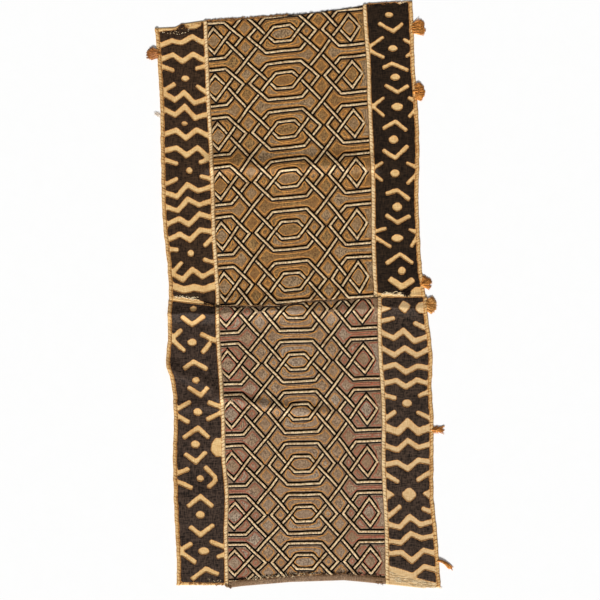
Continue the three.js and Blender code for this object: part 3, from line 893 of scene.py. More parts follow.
@dataclass
class Interlace:
    """All the runs on one panel, with the one that passes over raised at each crossing."""

    lie: Lie
    chart: Chart
    step: float = 0.42
    over_reach: float = 6.4
    over_ramp: float = 5.0
    over_rise: float = 0.95
    near_run: float = 40.0
    lanes: list[Lane] = field(default_factory=list)
    segments: list[tuple[int, RunKind, Array, Array]] = field(default_factory=list)

    def __post_init__(self) -> None:
        """Lays every run of every row on the cloth, then raises the crossings."""
        for row in range(-1, len(self.chart.rows) - 1):
            for run in runs(self.chart.loop, self.chart.ring):
                self.lay(run, row * ROW_PITCH)
        self.weave()

    def lay(self, run: Run, below: float) -> None:
        """Samples one run and remembers its slanted stretches for the crossings.

        Args:
            run: The run.
            below: Lattice units of its row below the first one.
        """
        corners = np.array(run.corners, float) + (0.0, below)
        ends = np.roll(corners, -1, axis=0) if run.closed else corners[1:]
        starts = corners if run.closed else corners[:-1]
        samples = []
        for a, b in zip(starts, ends):
            count = max(2, round(float(np.hypot(*(b - a))) / self.step))
            samples.append(a + (b - a) * np.linspace(0, 1, count, endpoint=False)[:, None])
            if abs(b[1] - a[1]) > 0.01:
                self.segments.append((len(self.lanes), run.kind, a, b))
        if not run.closed:
            samples.append(corners[-1:])
        lattice = np.concatenate(samples)
        x, down = self.chart.to_cloth(self.lie, lattice[:, 0], lattice[:, 1])
        self.lanes.append(Lane(x, down, np.zeros(len(x)), run.closed))

    @staticmethod
    def meet(a: Array, b: Array, c: Array, d: Array) -> Array | None:
        """Where two stretches cross, or None.

        Args:
            a: Start of one stretch.
            b: Its end.
            c: Start of the other.
            d: Its end.

        Returns:
            The crossing in lattice units, or None.
        """
        r, s = b - a, d - c
        cross = r[0] * s[1] - r[1] * s[0]
        if abs(cross) < 1e-6:
            return None
        t = ((c - a)[0] * s[1] - (c - a)[1] * s[0]) / cross
        u = ((c - a)[0] * r[1] - (c - a)[1] * r[0]) / cross
        inside = 0.02 < t < 0.98 and 0.02 < u < 0.98
        at_star = -0.02 < t < 1.02 and -0.02 < u < 1.02 and abs(abs((a + t * r)[0]) - 6) < 0.05
        return a + t * r if inside or at_star else None

    def weave(self) -> None:
        """Raises the run that passes over at each crossing.

        Where two strands cross, the one that climbs to the right is on top. Where a loop and a strand
        cross, it is the one that falls to the right.
        """
        for i, (lane_a, kind_a, a, b) in enumerate(self.segments):
            for lane_b, kind_b, c, d in self.segments[i + 1 :]:
                if min(a[1], b[1]) > max(c[1], d[1]) + 0.1 or min(c[1], d[1]) > max(a[1], b[1]) + 0.1:
                    continue
                point = self.meet(a, b, c, d)
                climbs_a = (b - a)[0] * (b - a)[1] < 0
                climbs_b = (d - c)[0] * (d - c)[1] < 0
                if point is None or climbs_a == climbs_b:
                    continue
                climber_over = kind_a is RunKind.STRAND and kind_b is RunKind.STRAND
                over = lane_a if climbs_a == climber_over else lane_b
                self.raise_at(over, point, climber_over)

    def raise_at(self, lane: int, point: Array, climbs: bool) -> None:
        """Lifts one lane's samples around a crossing, on the stretch that climbs or the one that falls.

        Args:
            lane: Number of the lane.
            point: The crossing, in lattice units.
            climbs: Whether the stretch climbs to the right.
        """
        x, down = self.chart.to_cloth(self.lie, point[0], point[1])
        run = self.lanes[lane]
        away = np.hypot(run.x - x, run.down - down)
        heading = np.gradient(run.x) * np.gradient(run.down) < 0
        near = (away < self.over_reach + self.over_ramp) & (heading == climbs)
        rise = self.over_rise * (1 - smooth(away, self.over_reach, self.over_reach + self.over_ramp))
        run.rise = np.where(near, np.maximum(run.rise, rise), run.rise)

    def distance(self, x: Array, down: Array) -> Array:
        """Distance from places on the cloth to the nearest run's middle.

        Args:
            x: Places across.
            down: Places down.

        Returns:
            Distances.
        """
        best = np.full(x.shape, 1e6)
        for lane in self.lanes:
            px, pd = lane.x[::3], lane.down[::3]
            if lane.closed:
                px, pd = np.append(px, lane.x[0]), np.append(pd, lane.down[0])
            else:
                px, pd = np.append(px, lane.x[-1]), np.append(pd, lane.down[-1])
            low, high = pd.min() - self.near_run, pd.max() + self.near_run
            rows = np.where((down.max(axis=1) > low) & (down.min(axis=1) < high))[0]
            if not len(rows):
                continue
            band = slice(rows[0], rows[-1] + 1)
            gx, gd = x[band], down[band]
            near = best[band]
            for k in range(len(px) - 1):
                ex, ed = px[k + 1] - px[k], pd[k + 1] - pd[k]
                t = np.clip(((gx - px[k]) * ex + (gd - pd[k]) * ed) / (ex * ex + ed * ed + 1e-9), 0, 1)
                near = np.minimum(near, (gx - px[k] - t * ex) ** 2 + (gd - pd[k] - t * ed) ** 2)
            best[band] = near
        return np.sqrt(best)


def contours(values: Array, level: float) -> list[Array]:
    """Lines where a grid of values passes a level.

    Args:
        values: The grid.
        level: The value to follow.

    Returns:
        Lines of fractional (row, column) places. A line that closes ends where it starts.
    """
    above = values > level
    cells = above[:-1, :-1].astype(int) + above[:-1, 1:] + above[1:, 1:] + above[1:, :-1]
    links: dict[tuple, list[tuple]] = {}
    for r, c in zip(*np.where((cells > 0) & (cells < 4))):
        r, c = int(r), int(c)
        sides = [("h", r, c), ("v", r, c + 1), ("h", r + 1, c), ("v", r, c)]
        corner = [above[r, c], above[r, c + 1], above[r + 1, c + 1], above[r + 1, c]]
        crossed = [sides[i] for i in range(4) if corner[i] != corner[(i + 1) % 4]]
        pairs = [crossed] if len(crossed) == 2 else [crossed[:2], crossed[2:]]
        for a, b in pairs:
            links.setdefault(a, []).append(b)
            links.setdefault(b, []).append(a)

    def spot(key: tuple) -> tuple[float, float]:
        """Fractional place of a crossing on a grid edge.

        Args:
            key: Way of the grid edge, its row and its column.

        Returns:
            Fractional row and column.
        """
        way, r, c = key
        first = values[r, c]
        second = values[r, c + 1] if way == "h" else values[r + 1, c]
        t = float((level - first) / (second - first))
        return (r, c + t) if way == "h" else (r + t, c)

    lines = []
    left = set(links)
    starts = [k for k in links if len(links[k]) == 1] + list(links)
    for start in starts:
        if start not in left:
            continue
        chain = [start]
        left.discard(start)
        while True:
            step = next((k for k in links[chain[-1]] if k in left), None)
            if step is None:
                break
            chain.append(step)
            left.discard(step)
        if len(chain) > 2 and start in links[chain[-1]]:
            chain.append(start)
        lines.append(np.array([spot(k) for k in chain]))
    return lines


def between(line: Array, *grids: Array) -> tuple[Array, ...]:
    """Values of grids at fractional places.

    Args:
        line: Fractional (row, column) places.
        grids: Grids of one shape.

    Returns:
        The values of each grid at the places.
    """
    last_row, last_column = (n - 2 for n in grids[0].shape)
    r = np.clip(line[:, 0].astype(int), 0, last_row)
    c = np.clip(line[:, 1].astype(int), 0, last_column)
    fr, fc = line[:, 0] - r, line[:, 1] - c
    return tuple(
        g[r, c] * (1 - fr) * (1 - fc) + g[r, c + 1] * (1 - fr) * fc
        + g[r + 1, c] * fr * (1 - fc) + g[r + 1, c + 1] * fr * fc
        for g in grids
    )


def ribbon_rings(
    lie: Lie,
    x: Array,
    down: Array,
    z: Callable[[Array, Array], Array],
    profile: tuple[Point, ...],
    rise: Array,
    closed: bool,
    keep: Callable[[Array, Array], Pair],
) -> Array:
    """Rings of a flat ribbon that follows the cloth.

    Args:
        lie: How the cloth lies.
        x: Middle line across.
        down: Middle line down.
        z: Height of the cloth under each place.
        profile: Offsets across the ribbon with their heights.
        rise: Extra height at each sample.
        closed: Whether the line closes.
        keep: Moves places back inside the piece that carries the ribbon.

    Returns:
        Points shaped sample by profile point by 3, in metres.
    """
    line = np.stack([x, down], axis=1)
    after = np.roll(line, -1, axis=0) - line
    before = line - np.roll(line, 1, axis=0)
    if not closed:
        after[-1] = before[-1]
        before[0] = after[0]
    unit = [v / (np.hypot(v[:, 0], v[:, 1])[:, None] + 1e-9) for v in (before, after)]
    normals = [np.stack([-v[:, 1], v[:, 0]], axis=1) for v in unit]
    mitre = normals[0] + normals[1]
    mitre = mitre / (np.hypot(mitre[:, 0], mitre[:, 1])[:, None] + 1e-9)
    stretch = 1 / np.clip((mitre * normals[0]).sum(axis=1), 0.55, 1)
    rings = []
    for offset, high in profile:
        px, pd = keep(x + mitre[:, 0] * offset * stretch, down + mitre[:, 1] * offset * stretch)
        rings.append(lie.place(px, pd, z(px, pd) + high + rise))
    return np.stack(rings, axis=1)


@dataclass
class CentrePanel:
    """Embroidered centre panel: its sheet with raised pile fields, the interlace and the inset lines."""

    lie: Lie
    half: Half
    node: str
    piles: tuple[PileRaffia, ...]
    ground: PileRaffia
    side_inset: Thread
    black: Thread = BLACK
    cream: Thread = CREAM_THREAD
    inset: Thread = OCHRE_THREAD
    columns: int = 142
    rows: int = 250
    pile_seed: int = 262
    inset_at: float = 9.8
    channel_pull: float = 1.58
    pile_high: float = 0.55
    hem_long: float = 12.5
    hem_high: float = 1.3
    right_more: float = 2.6
    lap_at: float = 651.0
    lap_clear: float = 1.5
    pile_from: float = 10.6
    pile_to: float = 12.2
    pile_edge: float = 10.9
    thin: float = 0.7
    thin_long: float = 4.0
    hem_ramp: float = 2.5
    ribs: int = 5
    rib_high: float = 0.25
    bound: float = 7.0
    side_from: float = 6.6
    short_line: int = 8
    band_profile: tuple[Point, ...] = (
        (-6.1, -0.2), (-5.7, 0.4), (-2.4, 0.5), (-2.1, 0.8), (0.0, 1.05),
        (2.1, 0.8), (2.4, 0.5), (5.7, 0.4), (6.1, -0.2),
    )
    inset_profile: tuple[Point, ...] = ((-1.3, -0.2), (-0.75, 0.5), (0.75, 0.5), (1.3, -0.2))

    def ends(self, x: Array) -> Pair:
        """Top and bottom edges at x.

        Args:
            x: Places across.

        Returns:
            Top and bottom.
        """
        if self.half is Half.UPPER:
            ragged = 0.9 * ripple(x, x * 0, 17.0) + 0.5 * ripple(x, x * 0, 5.0)
            return edge_at(TOP_EDGE, x) + 1.5 + ragged, edge_at(SEAM, x) - 0.2
        upper = CHARTS[Half.UPPER]
        left, right = upper.edges(self.lie, np.array([self.lap_at]))
        under = (x > left[0] + self.lap_clear) & (x < right[0] - self.lap_clear)
        return edge_at(SEAM, x) + np.where(under, -SEAM_LAP, 0.3), edge_at(BOTTOM_EDGE, x)

    def surface(self, x: Array, down: Array) -> Array:
        """Height of the sheet's upper face, without its pile."""
        return self.underside(x, down) + PANEL_THICK

    def underside(self, x: Array, down: Array) -> Array:
        """Height of the sheet's underside. The upper panel's end is lifted over the lower panel.

        Args:
            x: Places across.
            down: Places down.

        Returns:
            Heights.
        """
        lift = self.lie.lift(x, down)
        if self.half is Half.LOWER:
            return lift
        to_seam = edge_at(SEAM, x) - down
        return lift + SEAM_LIFT * (1 - smooth(to_seam, SEAM_LAP + 7, SEAM_LAP + SEAM_RAMP + 7))

    def sides(self, down: Array) -> Pair:
        """Left and right edges of the sheet."""
        left, right = CHARTS[self.half].edges(self.lie, down)
        return left, right + self.right_more

    def keep(self, x: Array, down: Array) -> Pair:
        """Moves places back inside the part of the panel that is embroidered.

        Args:
            x: Places across.
            down: Places down.

        Returns:
            x and down.
        """
        left, right = self.sides(down)
        x = np.clip(x, left + 0.8, right - 0.8)
        top, bottom = self.ends(x)
        if self.half is Half.LOWER:
            top, bottom = edge_at(SEAM, x) + 1.2, bottom - self.hem_long
        return x, np.clip(down, top + 1.5, bottom - 1.0)

    def build(self) -> None:
        """Builds the sheet, the interlace and the inset lines."""
        chart = CHARTS[self.half]
        interlace = Interlace(self.lie, chart)
        x, down = self.grid()
        across, below = chart.to_lattice(self.lie, x, down)
        from_channel = ROW_PITCH / 2 - np.abs(below % ROW_PITCH - ROW_PITCH / 2)
        channel = smooth(-from_channel, -1.5, -0.9) * np.maximum(
            1 - smooth(np.abs(across), 2.6, 3.4), smooth(np.abs(across), 8.9, 9.6)
        )
        depth = interlace.distance(x, down) * (1 + (self.channel_pull - 1) * channel)
        sheet = self.sheet(x, down, depth)
        bands = self.bands(interlace)
        insets = self.insets(x, down, depth, across)

    def grid(self) -> Pair:
        """Places of the sheet's points, evenly spread between its uneven edges.

        Returns:
            x and down, each shaped rows by columns.
        """
        t = np.linspace(0, 1, self.rows)[:, None]
        s = np.linspace(0, 1, self.columns)[None, :]
        down = np.broadcast_to(ROUGH_TOP + t * ROUGH_LONG, (self.rows, self.columns))
        for _ in range(SETTLE):
            left, right = self.sides(down)
            x = left + s * (right - left)
            top, bottom = self.ends(x)
            down = top + t * (bottom - top)
        left, right = self.sides(down)
        return left + s * (right - left), down

    def sheet(self, x: Array, down: Array, depth: Array) -> Piece:
        """The panel's sheet, its pile fields a little proud.

        Args:
            x: Places across.
            down: Places down.
            depth: Distance to the nearest band's middle.

        Returns:
            The piece.
        """
        top = self.surface(x, down) + self.pile_high * smooth(depth, self.pile_from, self.pile_to)
        if self.half is Half.UPPER:
            top = top - self.thin * (1 - smooth(down - down[0], 0, self.thin_long))
        finish = self.fields(depth[:-1, :-1] + depth[1:, 1:] > 2 * self.pile_edge)
        if self.half is Half.LOWER:
            to_end = edge_at(BOTTOM_EDGE, x) - down
            hem = 1 - smooth(to_end, self.hem_long - self.hem_ramp, self.hem_long)
            ribs = self.rib_high * np.sin(to_end / self.hem_long * math.pi * self.ribs)
            top = np.where(hem > 0.01, self.surface(x, down) + hem * (self.hem_high + ribs), top)
            finish = np.where(hem[:-1, :-1] > 0.5, 0, finish)
        skin = Skin()
        skin.grid(
            self.lie.place(x, down, top),
            self.lie.place(x, down, self.underside(x, down)),
            self.rows,
            self.columns,
            finish,
        )
        finishes = [self.ground.material(), *(pile.material() for pile in self.piles)]
        piece = skin.make(f"{self.node}_cloth", finishes)
        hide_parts(self.node)
        return dress(piece)

    def fields(self, raised: Array) -> Array:
        """Gives each raised field one of the pile finishes, as each was worked with its own raffia.

        Args:
            raised: Which faces of the sheet are raised.

        Returns:
            The number of each face's finish, 0 for the ground.
        """
        draw = np.random.default_rng(self.pile_seed)
        finish = np.zeros(raised.shape, int)
        left = raised.copy()
        for r, c in zip(*(axis.tolist() for axis in np.where(raised))):
            if not left[r, c]:
                continue
            look = int(draw.integers(1, len(self.piles) + 1))
            left[r, c] = False
            edge = [(r, c)]
            while edge:
                i, j = edge.pop()
                finish[i, j] = look
                for a, b in ((i - 1, j), (i + 1, j), (i, j - 1), (i, j + 1)):
                    if 0 <= a < left.shape[0] and 0 <= b < left.shape[1] and left[a, b]:
                        left[a, b] = False
                        edge.append((a, b))
        return finish

    def bands(self, interlace: Interlace) -> Piece:
        """The black and cream bands of the interlace.

        Args:
            interlace: The runs.

        Returns:
            The piece.
        """
        skin = Skin()
        around = (0, 0, 0, 1, 1, 0, 0, 0, 0)
        for lane in interlace.lanes:
            kx, kd = self.keep(lane.x, lane.down)
            inside = np.hypot(kx - lane.x, kd - lane.down) < self.bound
            if inside.all():
                self.band(skin, lane, np.arange(len(lane.x)), lane.closed, around)
                continue
            order = np.arange(len(lane.x))
            if lane.closed:
                order = np.roll(order, -int(np.argmin(inside)))
            for part in np.split(order, np.where(~inside[order])[0]):
                part = part[inside[part]]
                if len(part) > 2:
                    self.band(skin, lane, part, False, around)
        piece = skin.make(f"{self.node}_interlace", [self.black.material(), self.cream.material()])
        return dress(piece)

    def band(self, skin: Skin, lane: Lane, part: Array, closed: bool, around: Iterable[int]) -> None:
        """Adds one stretch of band to a skin.

        Args:
            skin: Skin that is added to.
            lane: The run.
            part: Numbers of its samples.
            closed: Whether the stretch closes.
            around: Finish of each face round the section.
        """
        rings = ribbon_rings(
            self.lie, lane.x[part], lane.down[part], self.surface, self.band_profile,
            lane.rise[part], closed, self.keep,
        )
        skin.sweep(rings, around, closed)

    def insets(
        self, x: Array, down: Array, depth: Array, across: Array
    ) -> Piece:
        """The thin coloured lines inside each field.

        Args:
            x: Places across.
            down: Places down.
            depth: Distance to the nearest band's middle.
            across: Lattice columns of the places.

        Returns:
            The piece.
        """
        skin = Skin()
        inside = depth.copy()
        if self.half is Half.LOWER:
            inside[edge_at(BOTTOM_EDGE, x) - down < self.hem_long + 2] = 0
            inside[down < edge_at(SEAM, x) + 3] = 0
        for line in contours(inside, self.inset_at):
            if len(line) < self.short_line:
                continue
            closed = bool(np.allclose(line[0], line[-1]))
            line = line[:-1:2] if closed else line[::2]
            lx, ld, la = between(line, x, down, across)
            look = 1 if abs(float(np.mean(la))) > self.side_from else 0
            rings = ribbon_rings(
                self.lie, lx, ld, self.surface, self.inset_profile, np.zeros(len(lx)), closed, self.keep
            )
            skin.sweep(rings, [look] * len(self.inset_profile), closed)
        piece = skin.make(f"{self.node}_insets", [self.inset.material(), self.side_inset.material()])
        return dress(piece)


def dress(piece: Piece) -> Piece:
    """Makes a piece ride on the cloth's one body.

    Args:
        piece: The piece.

    Returns:
        The same piece.
    """
    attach(piece, "root")
    return piece


class Zigzag(NamedTuple):
    """A cut that crosses the dark cloth: its places down at five stations, and its width."""

    down: tuple[float, float, float, float, float]
    stroke: float = 12.5


class Chevron(NamedTuple):
    """A bent cut. across runs from the middle of the dark cloth, and each arm has a run and a rise."""

    across: float
    down: float
    left: float
    left_rise: float
    right: float
    right_rise: float
    stroke: float = 11.0


class Bar(NamedTuple):
    """A slanting cut, its tilt in degrees."""

    across: float
    down: float
    length: float
    tilt: float


class Dot(NamedTuple):
    """A rounded cut. clip is how much of each side its corners take, from a box at 0 to a diamond at 1."""

    across: float
    down: float
    wide: float
    high: float
    clip: float = 0.62
    tilt: float = 0.0


@dataclass(frozen=True)
class Motifs:
    """All the cuts of one dark cloth."""

    zigzags: tuple[Zigzag, ...] = ()
    chevrons: tuple[Chevron, ...] = ()
    bars: tuple[Bar, ...] = ()
    dots: tuple[Dot, ...] = ()


BROAD_STROKE = 17.0
LEFT_UPPER = Motifs(
    zigzags=(
        Zigzag((103, 90, 95, 81, 97)), Zigzag((132, 121, 136, 119, 136)), Zigzag((202, 220, 204, 227, 218)),
        Zigzag((238, 253, 235, 260, 251)), Zigzag((299, 286, 304, 286, 301)),
        Zigzag((334, 325, 342, 325, 351)), Zigzag((422, 433, 406, 420, 411)),
        Zigzag((453, 464, 438, 451, 442)), Zigzag((497, 481, 494, 471, 480)),
        Zigzag((530, 515, 528, 506, 510)), Zigzag((598, 616, 592, 609, 593)),
        Zigzag((627, 638, 632, 637, 627), BROAD_STROKE),
    ),
    bars=(
        Bar(-31, 152, 28, -20), Bar(38, 149, 25, 15), Bar(-30, 191, 28, 29), Bar(37, 195, 27, -35),
        Bar(-31, 357, 29, -18), Bar(38, 355, 24, 19), Bar(-32, 398, 28, 27), Bar(39, 390, 26, -15),
        Bar(-36, 549, 22, -7), Bar(38, 534, 24, 45), Bar(-31, 586, 30, 48), Bar(35, 573, 22, -17),
    ),
    dots=(
        Dot(27, 54, 38, 22), Dot(4, 173, 20, 15), Dot(-2, 272, 16, 11), Dot(5, 375, 16, 16),
        Dot(0, 557, 16, 16),
    ),
)
LEFT_LOWER = Motifs(
    chevrons=(
        Chevron(-2, 714, 24, 19, 28, 20), Chevron(1, 796, 23, -16, 31, -17),
        Chevron(6, 870, 29, 20, 17, 20), Chevron(-2, 941, 33, -23, 25, -23),
        Chevron(-6, 1016, 26, 19, 23, 23), Chevron(0, 1092, 30, -23, 27, -23),
        Chevron(-2, 1177, 23, 20, 31, 24), Chevron(8, 1251, 31, -24, 29, -13),
    ),
    bars=(
        Bar(-37, 735, 34, 41), Bar(-33, 759, 44, -42), Bar(30, 741, 34, -26), Bar(29, 765, 32, 50),
        Bar(-29, 890, 31, 30), Bar(-32, 923, 28, -30), Bar(34, 889, 29, -21), Bar(33, 915, 37, 27),
        Bar(-34, 1035, 27, 22), Bar(-32, 1067, 36, -24), Bar(24, 1039, 38, -46), Bar(27, 1063, 30, 45),
        Bar(-33, 1202, 31, 33), Bar(-29, 1226, 41, -35), Bar(35, 1197, 38, -22), Bar(43, 1222, 23, 23),
    ),
    dots=(
        Dot(1, 679, 16, 13), Dot(-3, 753, 21, 17), Dot(0, 836, 17, 14), Dot(-2, 906, 20, 18),
        Dot(-7, 977, 21, 17), Dot(44, 984, 34, 42), Dot(1, 1052, 17, 15), Dot(-1, 1132, 20, 18),
        Dot(5, 1212, 24, 18),
    ),
)
RIGHT_UPPER = Motifs(
    chevrons=(
        Chevron(10, 70, 33, 19, 22, 19, 9.0), Chevron(3, 140, 21, -10, 37, -16, 9.5),
        Chevron(12, 203, 29, 17, 25, 15, 9.5), Chevron(4, 267, 28, -17, 26, -21, 9.5),
        Chevron(1, 348, 28, 19, 29, 28, 10.0), Chevron(5, 418, 26, -9, 28, -22, 10.0),
        Chevron(5, 490, 27, 18, 29, 16, 10.0), Chevron(8, 559, 31, -22, 30, -21, 10.0),
        Chevron(6, 632, 28, 20, 27, 19, 14.5),
    ),
    bars=(
        Bar(-28, 92, 40, 35), Bar(-28, 120, 36, -26), Bar(37, 90, 18, -33), Bar(39, 122, 14, 36),
        Bar(-32, 225, 38, 38), Bar(-30, 247, 31, -42), Bar(41, 218, 16, -35), Bar(40, 251, 20, 51),
        Bar(-35, 363, 24, 33), Bar(-35, 392, 23, -38), Bar(34, 362, 22, -27), Bar(35, 396, 26, 45),
        Bar(-34, 506, 32, 15), Bar(-28, 533, 43, -32), Bar(36, 507, 18, -24), Bar(38, 535, 22, 60),
    ),
    dots=(
        Dot(2, 33, 20, 13), Dot(7, 107, 22, 15), Dot(9, 170, 22, 15), Dot(10, 235, 26, 18),
        Dot(-1, 307, 22, 18), Dot(0, 381, 22, 18), Dot(5, 455, 22, 20), Dot(4, 524, 28, 17),
        Dot(10, 596, 18, 18), Dot(40, 644, 40, 26, 0.8, 12),
    ),
)
RIGHT_LOWER = Motifs(
    zigzags=(
        Zigzag((728, 744, 727, 751, 739)), Zigzag((762, 782, 765, 782, 766)),
        Zigzag((811, 802, 819, 805, 811)), Zigzag((845, 837, 851, 836, 845)),
        Zigzag((938, 950, 929, 950, 938), BROAD_STROKE), Zigzag((979, 990, 969, 985, 975)),
        Zigzag((1024, 1017, 1031, 1012, 1017)), Zigzag((1151, 1160, 1136, 1154, 1146)),
        Zigzag((1189, 1194, 1173, 1184, 1177)), Zigzag((1219, 1215, 1234, 1210, 1220)),
        Zigzag((1249, 1258, 1267, 1246, 1256)),
    ),
    bars=(
        Bar(-32, 703, 32, 14), Bar(34, 715, 26, -27), Bar(-36, 873, 28, -15),
        Bar(36, 867, 24, 24), Bar(-37, 913, 30, 36), Bar(34, 913, 34, -27), Bar(-32, 1053, 32, -31),
        Bar(35, 1048, 38, 33), Bar(-32, 1124, 38, 41),
        Bar(39, 1122, 27, -23),
    ),
    dots=(
        Dot(4, 675, 27, 28, 0.85, 8), Dot(42, 677, 27, 26), Dot(0, 887, 22, 18),
        Dot(2, 1088, 31, 31, 0.72), Dot(-46, 680, 48, 15, 0.9, 4), Dot(-47, 1088, 36, 24, 0.9),
        Dot(48, 1086, 34, 22, 0.9),
    ),
)


@dataclass
class Border:
    """One border: its cream ground with two rolled hems, and the dark cut-work cloth sewn on it."""

    lie: Lie
    half: Half
    side: Side
    motifs: Motifs
    cream: WovenRaffia
    dark: DarkRaffia
    dark_nodes: tuple[str, ...]
    margins: tuple[Row, ...]
    hem: WovenRaffia = HEM
    # Painted shade on the sloping sides of the rolled hems.
    flank: WovenRaffia = FLANK_SHADE
    inner_hem: WovenRaffia = INNER_HEM_RAFFIA
    amber: Thread = AMBER_THREAD
    # Painted shade along the cut edges of the dark cloth.
    rim: Thread = RIM_THREAD
    end_hem: float = 5.0
    head_hem: float = 0.0
    cell: float = 1.98
    row_step: float = 2.8
    bar_wide: float = 11.0
    over: float = 6.0
    dark_edge: float = 0.6
    whip: float = 7.3
    rim_at: float = -0.45
    rim_wide: float = 0.8
    hem_wide: float = 8.0
    # Heights on a roll below which its faces take the painted-shade flank colour; the inner roll has its own.
    flank_high: float = 2.85
    cut_in: float = 0.0
    outer_more: float = 0.0
    inner_less: float = 0.0
    inner_flank_high: float = 2.3
    soften: int = 3
    rim_up: float = 0.15
    rim_uneven: float = 0.35
    rim_short: int = 6
    stations: int = 26
    hem_over: float = 0.1
    whip_deep: float = 0.34
    hem_uneven: float = 0.22
    fold_high: float = 1.5
    head_high: float = 1.6
    head_from: float = 0.40
    head_to: float = 0.48
    stitch_across: Point = (0.12, 1.04)
    stitch_lean: Point = (0.3, 0.7)
    stitch_up: float = 0.15
    stitch_thick: Point = (0.4, 0.75)
    stitch_first: float = 1.5
    stitch_last: float = 6.0
    stitch_clear: float = 0.5
    whip_uneven: Point = (0.7, 1.3)
    outer_profile: tuple[Point, ...] = (
        (0.0, 0.9), (0.35, 1.9), (1.1, 2.7), (2.3, 3.2), (3.9, 3.35), (5.6, 3.15), (7.0, 2.6), (8.0, 1.9),
        (8.5, 1.2),
    )

    def name(self, part: str) -> str:
        """Name of one of the border's pieces."""
        return f"border_{self.side.name.lower()}_{self.half.value}_{part}"

    def hems(self, down: Array) -> Pair:
        """x of the outer edge and of the edge that meets the panel.

        Args:
            down: Places down.

        Returns:
            Both x.
        """
        word = self.side.name.lower()
        outer = self.lie.side(self.half, f"outer_{word}", down)
        outer = outer + 0.8 * ripple(down * 0, down, 41.0, 1.0) + 0.5 * ripple(down * 0, down, 13.0, 2.0)
        inner = self.lie.side(self.half, f"inner_{word}", down)
        inward = self.side.value
        return outer - inward * self.outer_more, inner + inward * (BAND_HALF - GAP / 2 - self.inner_less)

    def span(self, down: Array, inner_hem: float = INNER_HEM) -> Pair:
        """x of the dark cloth's two edges, the left one first, for a width of the inner hem.

        Args:
            down: Places down.
            inner_hem: Width of the inner hem.

        Returns:
            x of the left edge and of the right one.
        """
        outer, edge = self.hems(down)
        out = self.side.value
        hidden = self.inner_less if inner_hem == INNER_HEM else 0.0
        a = outer + out * (OUTER_HEM + self.dark_edge)
        b = edge - out * (inner_hem - hidden + self.dark_edge - GAP / 2)
        return (a, b) if out > 0 else (b, a)

    def ends(self, x: Array) -> Pair:
        """Top and bottom edges of the ground at x.

        Args:
            x: Places across.

        Returns:
            Top and bottom.
        """
        if self.half is Half.UPPER:
            return edge_at(TOP_EDGE, x), edge_at(SEAM, x) - GAP / 2
        return edge_at(SEAM, x) + GAP / 2, edge_at(BOTTOM_EDGE, x)

    def dark_ends(self, x: Array) -> Pair:
        """Top and bottom edges of the dark cloth at x.

        Args:
            x: Places across.

        Returns:
            Top and bottom.
        """
        share, head, foot = zip(*self.margins)
        outer, edge = self.hems(np.array(MARKS[self.half].head))
        outer_low, edge_low = self.hems(np.array(MARKS[self.half].foot))
        top, bottom = self.ends(x)
        if self.half is Half.LOWER and self.side is Side.RIGHT:
            bottom = edge_at(DARK_LAST_EDGE, x)
        top = top + np.interp((x - outer) / (edge - outer), share, head)
        return top, bottom - np.interp((x - outer_low) / (edge_low - outer_low), share, foot)

    def profile(self) -> tuple[Array, Array, Array]:
        """Stations across the ground.

        Returns:
            The share of the free width at each station, its fixed offset in mm, and its height.
        """
        outer = [(0.0, offset, high) for offset, high in self.outer_profile]
        stations = np.linspace(0.02, 0.98, self.stations)
        flat = [(t, OUTER_HEM * (1 - t) - self.hem_wide * t, GROUND_THICK) for t in stations]
        scale = self.hem_wide / OUTER_HEM
        inner = [(1.0, -offset * scale, high) for offset, high in reversed(self.outer_profile)]
        share, offset, high = zip(*(outer + flat + inner))
        return np.array(share), np.array(offset), np.array(high)

    def build(self) -> None:
        """Builds the ground with its hems, and the dark cloth."""
        ground = self.ground()
        dark, rims, area = self.cut_cloth()
        stitches = self.stitches()
        down = np.array(MARKS[self.half].flat)
        outer, edge = self.hems(down)
        from_x, to_x = self.span(down, self.hem_wide)
        middle = (outer + edge) / 2
        top, bottom = (float(np.mean(e)) for e in self.ends(middle))
        dark_top, dark_bottom = (float(np.mean(e)) for e in self.dark_ends(middle))
        self.name("ground")

    def ground(self) -> Piece:
        """The cream ground with a rolled and whipped hem along each side.

        Returns:
            The piece.
        """
        share, offset, high = self.profile()
        middle = sum(self.hems(np.array([NEAR_SEAM]))) / 2
        top, bottom = self.ends(middle)
        rows = round(float(bottom[0] - top[0]) / self.row_step)
        t = np.linspace(0, 1, rows)[:, None]
        down = np.broadcast_to(top + t * (bottom - top), (rows, len(share)))
        for _ in range(SETTLE):
            outer, edge = self.hems(down)
            x = outer + (edge - outer) * share + self.side.value * offset
            top, bottom = self.ends(x)
            down = top + t * (bottom - top)
        on_hem = (high > GROUND_THICK + self.hem_over).astype(float)
        stitch = np.sin((down - x * 0.6) * 2 * math.pi / self.whip + ripple(x, down, 60.0))
        drawn_in = self.whip_deep * np.clip(stitch - 0.35, 0, 1)
        rolled = high + on_hem * (self.hem_uneven * ripple(x, down, 27.0, 4.0) - drawn_in)
        along = self.fold(bottom - down, self.end_hem * self.fold_share(x))
        rolled = np.maximum(rolled, GROUND_THICK + along * self.fold_high)
        if self.head_hem:
            ragged = share[None, :] + 0.04 * ripple(x, down, 9.0)
            near = 1 - smooth(ragged, self.head_from, self.head_to)
            along = self.fold(down - top, self.head_hem * near * (1 + 0.2 * ripple(x, down, 16.0)))
            rolled = np.maximum(rolled, GROUND_THICK + along * near * self.head_high)
        if self.side is Side.RIGHT:
            x, down, rolled, high = x[:, ::-1], down[:, ::-1], rolled[:, ::-1], high[::-1]
        lift = self.lie.lift(x, down)
        on_face = (high[:-1] + high[1:]) / 2 + 0.35 * ripple(x, down, 19.0, 3.0)[:-1, :-1]
        on_roll = (high[:-1] + high[1:]) / 2 > GROUND_THICK + self.hem_over
        inner = (share[:-1] + share[1:]) / 2 > 0.5
        inner = inner[::-1] if self.side is Side.RIGHT else inner
        flank_high = np.where(inner, self.inner_flank_high, self.flank_high)
